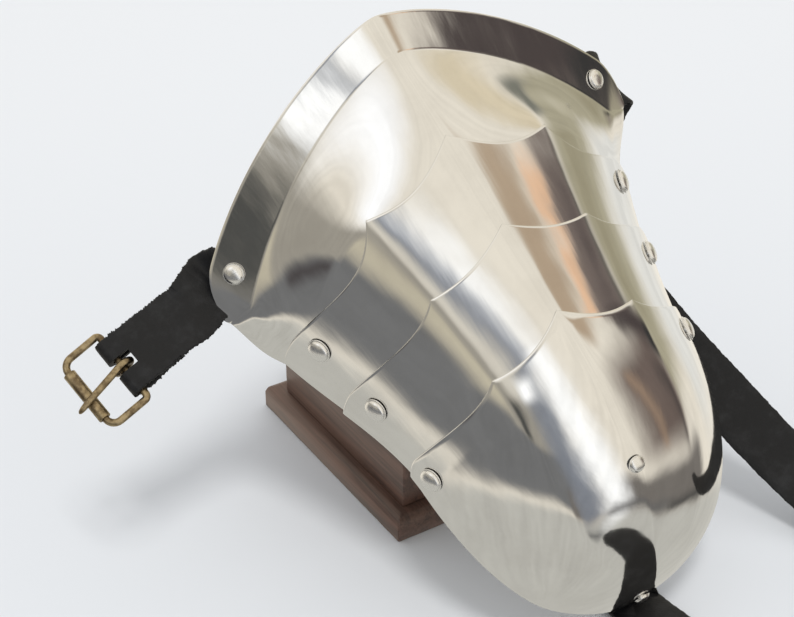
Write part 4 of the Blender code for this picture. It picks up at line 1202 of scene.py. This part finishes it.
@dataclass
class Studio:
    """Pale floor with a painted light falloff, soft studio light and the camera."""

    # The two floor tones paint a light falloff from near the camera to far off.
    shaded_near_floor: tuple = (0.735, 0.748, 0.765)
    lit_far_floor: tuple = (0.86, 0.865, 0.87)
    tent_colour: tuple = (0.99, 0.92, 0.79)
    below: tuple = (0.61, 0.595, 0.54)
    plain: tuple = (0.87, 0.885, 0.90)
    shaded: tuple = (0.16, 0.16, 0.165)
    key_power: float = 21.0
    key_size: float = 0.50
    key_azimuth: float = math.radians(208.0)
    key_elevation: float = math.radians(64.0)
    key_distance: float = 2.5
    camera_turn: float = math.radians(32.2)
    floor_reach: float = 6.0
    panels: tuple = (
        Panel(262.0, -4.0, 50.0, 26.0, (0.42, 0.39, 0.33), soft=6.0),
        Panel(250.0, -17.5, 56.0, 14.0, (0.21, 0.21, 0.21), soft=3.5),
        Panel(261.0, 42.0, 14.0, 14.0, (1.35, 1.35, 1.35), soft=12.0),
        Panel(252.0, 4.0, 6.0, 6.0, (0.66, 0.60, 0.46), soft=5.0),
        Panel(279.0, -9.0, 8.0, 4.0, (0.09, 0.08, 0.08), soft=5.0),
        Panel(236.0, 24.0, 5.0, 9.0, (0.80, 0.75, 0.65), turn=-30.0, soft=4.0),
        Panel(150.0, -27.0, 56.0, 8.0, (0.22, 0.20, 0.18), soft=4.0),
        Panel(214.0, 2.0, 4.0, 44.0, (0.27, 0.29, 0.33), turn=-34.0, soft=3.5),
        Panel(231.0, 31.0, 2.5, 5.0, (0.50, 0.52, 0.56), turn=-42.0, soft=2.5),
        Panel(201.5, 0.0, 5.0, 46.0, (1.38, 1.38, 1.36), turn=-35.0, soft=4.5),
        Panel(229.0, 19.5, 3.0, 4.2, (1.4, 1.4, 1.38), turn=-30.0, soft=2.6),
        Panel(234.3, 4.5, 4.0, 7.5, (0.085, 0.085, 0.08), turn=-16.0, soft=3.5),
        Panel(82.0, 9.0, 24.0, 15.0, (0.50, 0.46, 0.33), soft=7.0),
        Panel(86.0, 9.0, 5.0, 7.0, (0.42, 0.38, 0.26), turn=-25.0, soft=5.0),
        Panel(80.0, 40.0, 14.0, 8.0, (0.85, 0.74, 0.54), soft=6.0),
        Panel(67.0, 25.0, 3.5, 5.0, (0.24, 0.24, 0.20), turn=-30.0, soft=3.0),
        Panel(64.0, -16.0, 16.0, 9.0, (0.86, 0.85, 0.80), soft=7.0),
        Panel(121.0, 7.0, 18.0, 20.0, (0.19, 0.145, 0.125), soft=9.0),
        Panel(114.0, -2.0, 3.0, 15.0, (0.09, 0.075, 0.07), soft=6.0),
        Panel(129.5, 5.0, 1.0, 17.0, (0.46, 0.32, 0.22), turn=-3.0, soft=3.0),
        Panel(130.0, 47.0, 7.0, 7.5, (0.56, 0.43, 0.30), turn=-40.0, soft=4.0),
        Panel(104.0, 29.0, 3.0, 4.0, (0.13, 0.12, 0.10), soft=3.0),
        Panel(110.5, 33.5, 4.5, 7.5, (0.22, 0.175, 0.155), turn=-40.0, soft=3.0),
        Panel(118.0, 41.0, 1.6, 3.6, (0.98, 0.60, 0.36), turn=-45.0, soft=1.8),
        Panel(107.5, 21.5, 4.0, 13.5, (0.085, 0.068, 0.065), turn=-31.0, soft=3.5),
        Panel(102.5, 13.0, 3.0, 5.0, (0.045, 0.046, 0.045), turn=-31.0, soft=4.0),
        Panel(104.0, -33.5, 24.0, 1.5, (0.05, 0.05, 0.05), soft=2.5),
        Panel(156.0, -33.0, 28.0, 2.0, (0.16, 0.155, 0.15), soft=3.0),
        Panel(186.0, -42.0, 7.0, 2.0, (0.12, 0.12, 0.12), soft=4.0),
    )

    def world(self) -> None:
        """A light tent: a pale tone, panels by direction, and the floor's tone below."""
        world = bpy.data.worlds.new("studio")
        bpy.context.scene.world = world
        world.use_nodes = True
        graph = Graph(world.node_tree)
        split = graph.node("ShaderNodeTexCoord", {}, {}, "Generated")
        parts = graph.tree.nodes.new("ShaderNodeSeparateXYZ")
        graph.tree.links.new(split.socket, parts.inputs[0])
        x, y, z = (Wave(graph, parts.outputs[i]) for i in range(3))
        azimuth = x.math("ARCTAN2", x, y) * math.degrees(1.0)
        azimuth = azimuth + 360.0 * (0.0 - azimuth).step(-0.001, 0.001)
        elevation = z.math("ARCSINE", z) * math.degrees(1.0)
        colour = graph.mix(elevation.step(-38.0, -33.0), self.below, self.tent_colour)
        for panel in self.panels:
            across = azimuth - panel.azimuth
            up = elevation - panel.elevation
            cos, sin = math.cos(math.radians(panel.turn)), math.sin(math.radians(panel.turn))
            u = abs(across * cos + up * sin)
            v = abs(up * cos - across * sin)
            mask = (u.step(panel.half_width + panel.soft, panel.half_width - panel.soft)
                    * v.step(panel.half_height + panel.soft, panel.half_height - panel.soft))
            colour = graph.mix(mask, colour, panel.colour)
        streak = graph.node("ShaderNodeCombineXYZ", {}, {0: azimuth * 0.30, 1: elevation * 0.035})
        tone = graph.noise(streak, 1.0, 3.0, 0.6)
        colour = graph.mix(0.22, colour, graph.node("ShaderNodeVectorMath", {"operation": "SCALE"},
                                                    {0: colour, "Scale": tone * 2.0}))
        gloss = graph.node("ShaderNodeLightPath", {}, {}, "Is Glossy Ray")
        right = abs(azimuth - 150.0).step(95.0, 65.0) * elevation.step(34.0, 16.0)
        colour = graph.mix(gloss, graph.mix(right, self.plain, self.shaded), colour)
        background = graph.tree.nodes["Background"]
        graph.tree.links.new(colour.socket, background.inputs["Color"])
        background.inputs["Strength"].default_value = 1.0

    def floor(self) -> None:
        """A wide pale floor, which isn't seen in reflections because the tent carries its tone; its colour
        is painted with a light falloff, darker near the camera and lighter far off.
        """
        mesh = bpy.data.meshes.new("floor")
        reach = self.floor_reach
        mesh.from_pydata([(-reach, -reach, 0.0), (reach, -reach, 0.0), (reach, reach, 0.0),
                          (-reach, reach, 0.0)],
                         [], [(0, 1, 2, 3)])
        floor = bpy.data.objects.new("floor", mesh)
        bpy.context.collection.objects.link(floor)
        paint = bpy.data.materials.new("pale floor")
        paint.use_nodes = True
        shader = paint.node_tree.nodes["Principled BSDF"]
        graph = Graph(paint.node_tree)
        parts = graph.tree.nodes.new("ShaderNodeSeparateXYZ")
        graph.tree.links.new(graph.place(turn=(0.0, 0.0, self.camera_turn)).socket, parts.inputs[0])
        away = Wave(graph, parts.outputs[1])
        # Painted light falloff: the floor's colour runs from shaded near the camera to lit far off.
        tint = graph.mix(away.step(-0.25, 0.75), self.shaded_near_floor, self.lit_far_floor)
        graph.tree.links.new(tint.socket, shader.inputs["Base Color"])
        shader.inputs["Roughness"].default_value = 0.9
        shader.inputs["Specular IOR Level"].default_value = 0.1
        mesh.materials.append(paint)
        floor.visible_glossy = False

    def key(self) -> None:
        """A large soft light from high up in front, on the camera's side."""
        light = bpy.data.lights.new("key", "AREA")
        light.shape = "DISK"
        light.size = self.key_size
        light.energy = self.key_power
        lamp = bpy.data.objects.new("key", light)
        bpy.context.collection.objects.link(lamp)
        azimuth, elevation, distance = self.key_azimuth, self.key_elevation, self.key_distance
        flat = math.cos(elevation) * distance
        lamp.location = (flat * math.sin(azimuth), flat * math.cos(azimuth) - 0.08, math.sin(elevation)
                         * distance)
        lamp.rotation_euler = (Vector((0.0, -0.08, 0.05)) - lamp.location).to_track_quat("-Z",
                                                                                         "Y").to_euler()
        lamp.visible_glossy = False

    def camera(self) -> None:
        """The photograph's viewing angle."""
        lens = bpy.data.cameras.new("camera")
        lens.sensor_width = 36.0
        lens.lens = 72.54
        lens.clip_start = 0.01
        camera = bpy.data.objects.new("camera", lens)
        bpy.context.collection.objects.link(camera)
        camera.location = (-0.355, -0.548, 0.485)
        camera.rotation_euler = (math.radians(58.0), 0.0, -self.camera_turn)
        bpy.context.scene.camera = camera

    def build(self) -> None:
        """The whole studio."""
        bpy.context.scene.view_settings.view_transform = "Standard"
        self.world()
        self.floor()
        self.key()
        self.camera()


def main() -> None:
    """Build every part in the order in which the real thing goes together."""
    logging.basicConfig(level=logging.INFO)
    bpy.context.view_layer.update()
    shell, place = Shell(), Place()
    Plates(shell, place).build()
    rivets = Rivets(shell, place)
    rivets.build()
    buckle = Buckle(place, rivets)
    buckle.build()
    Straps(shell, place, rivets, buckle).build()
    Stand().build()
    Studio().build()


if __name__ == "__main__":
    main()
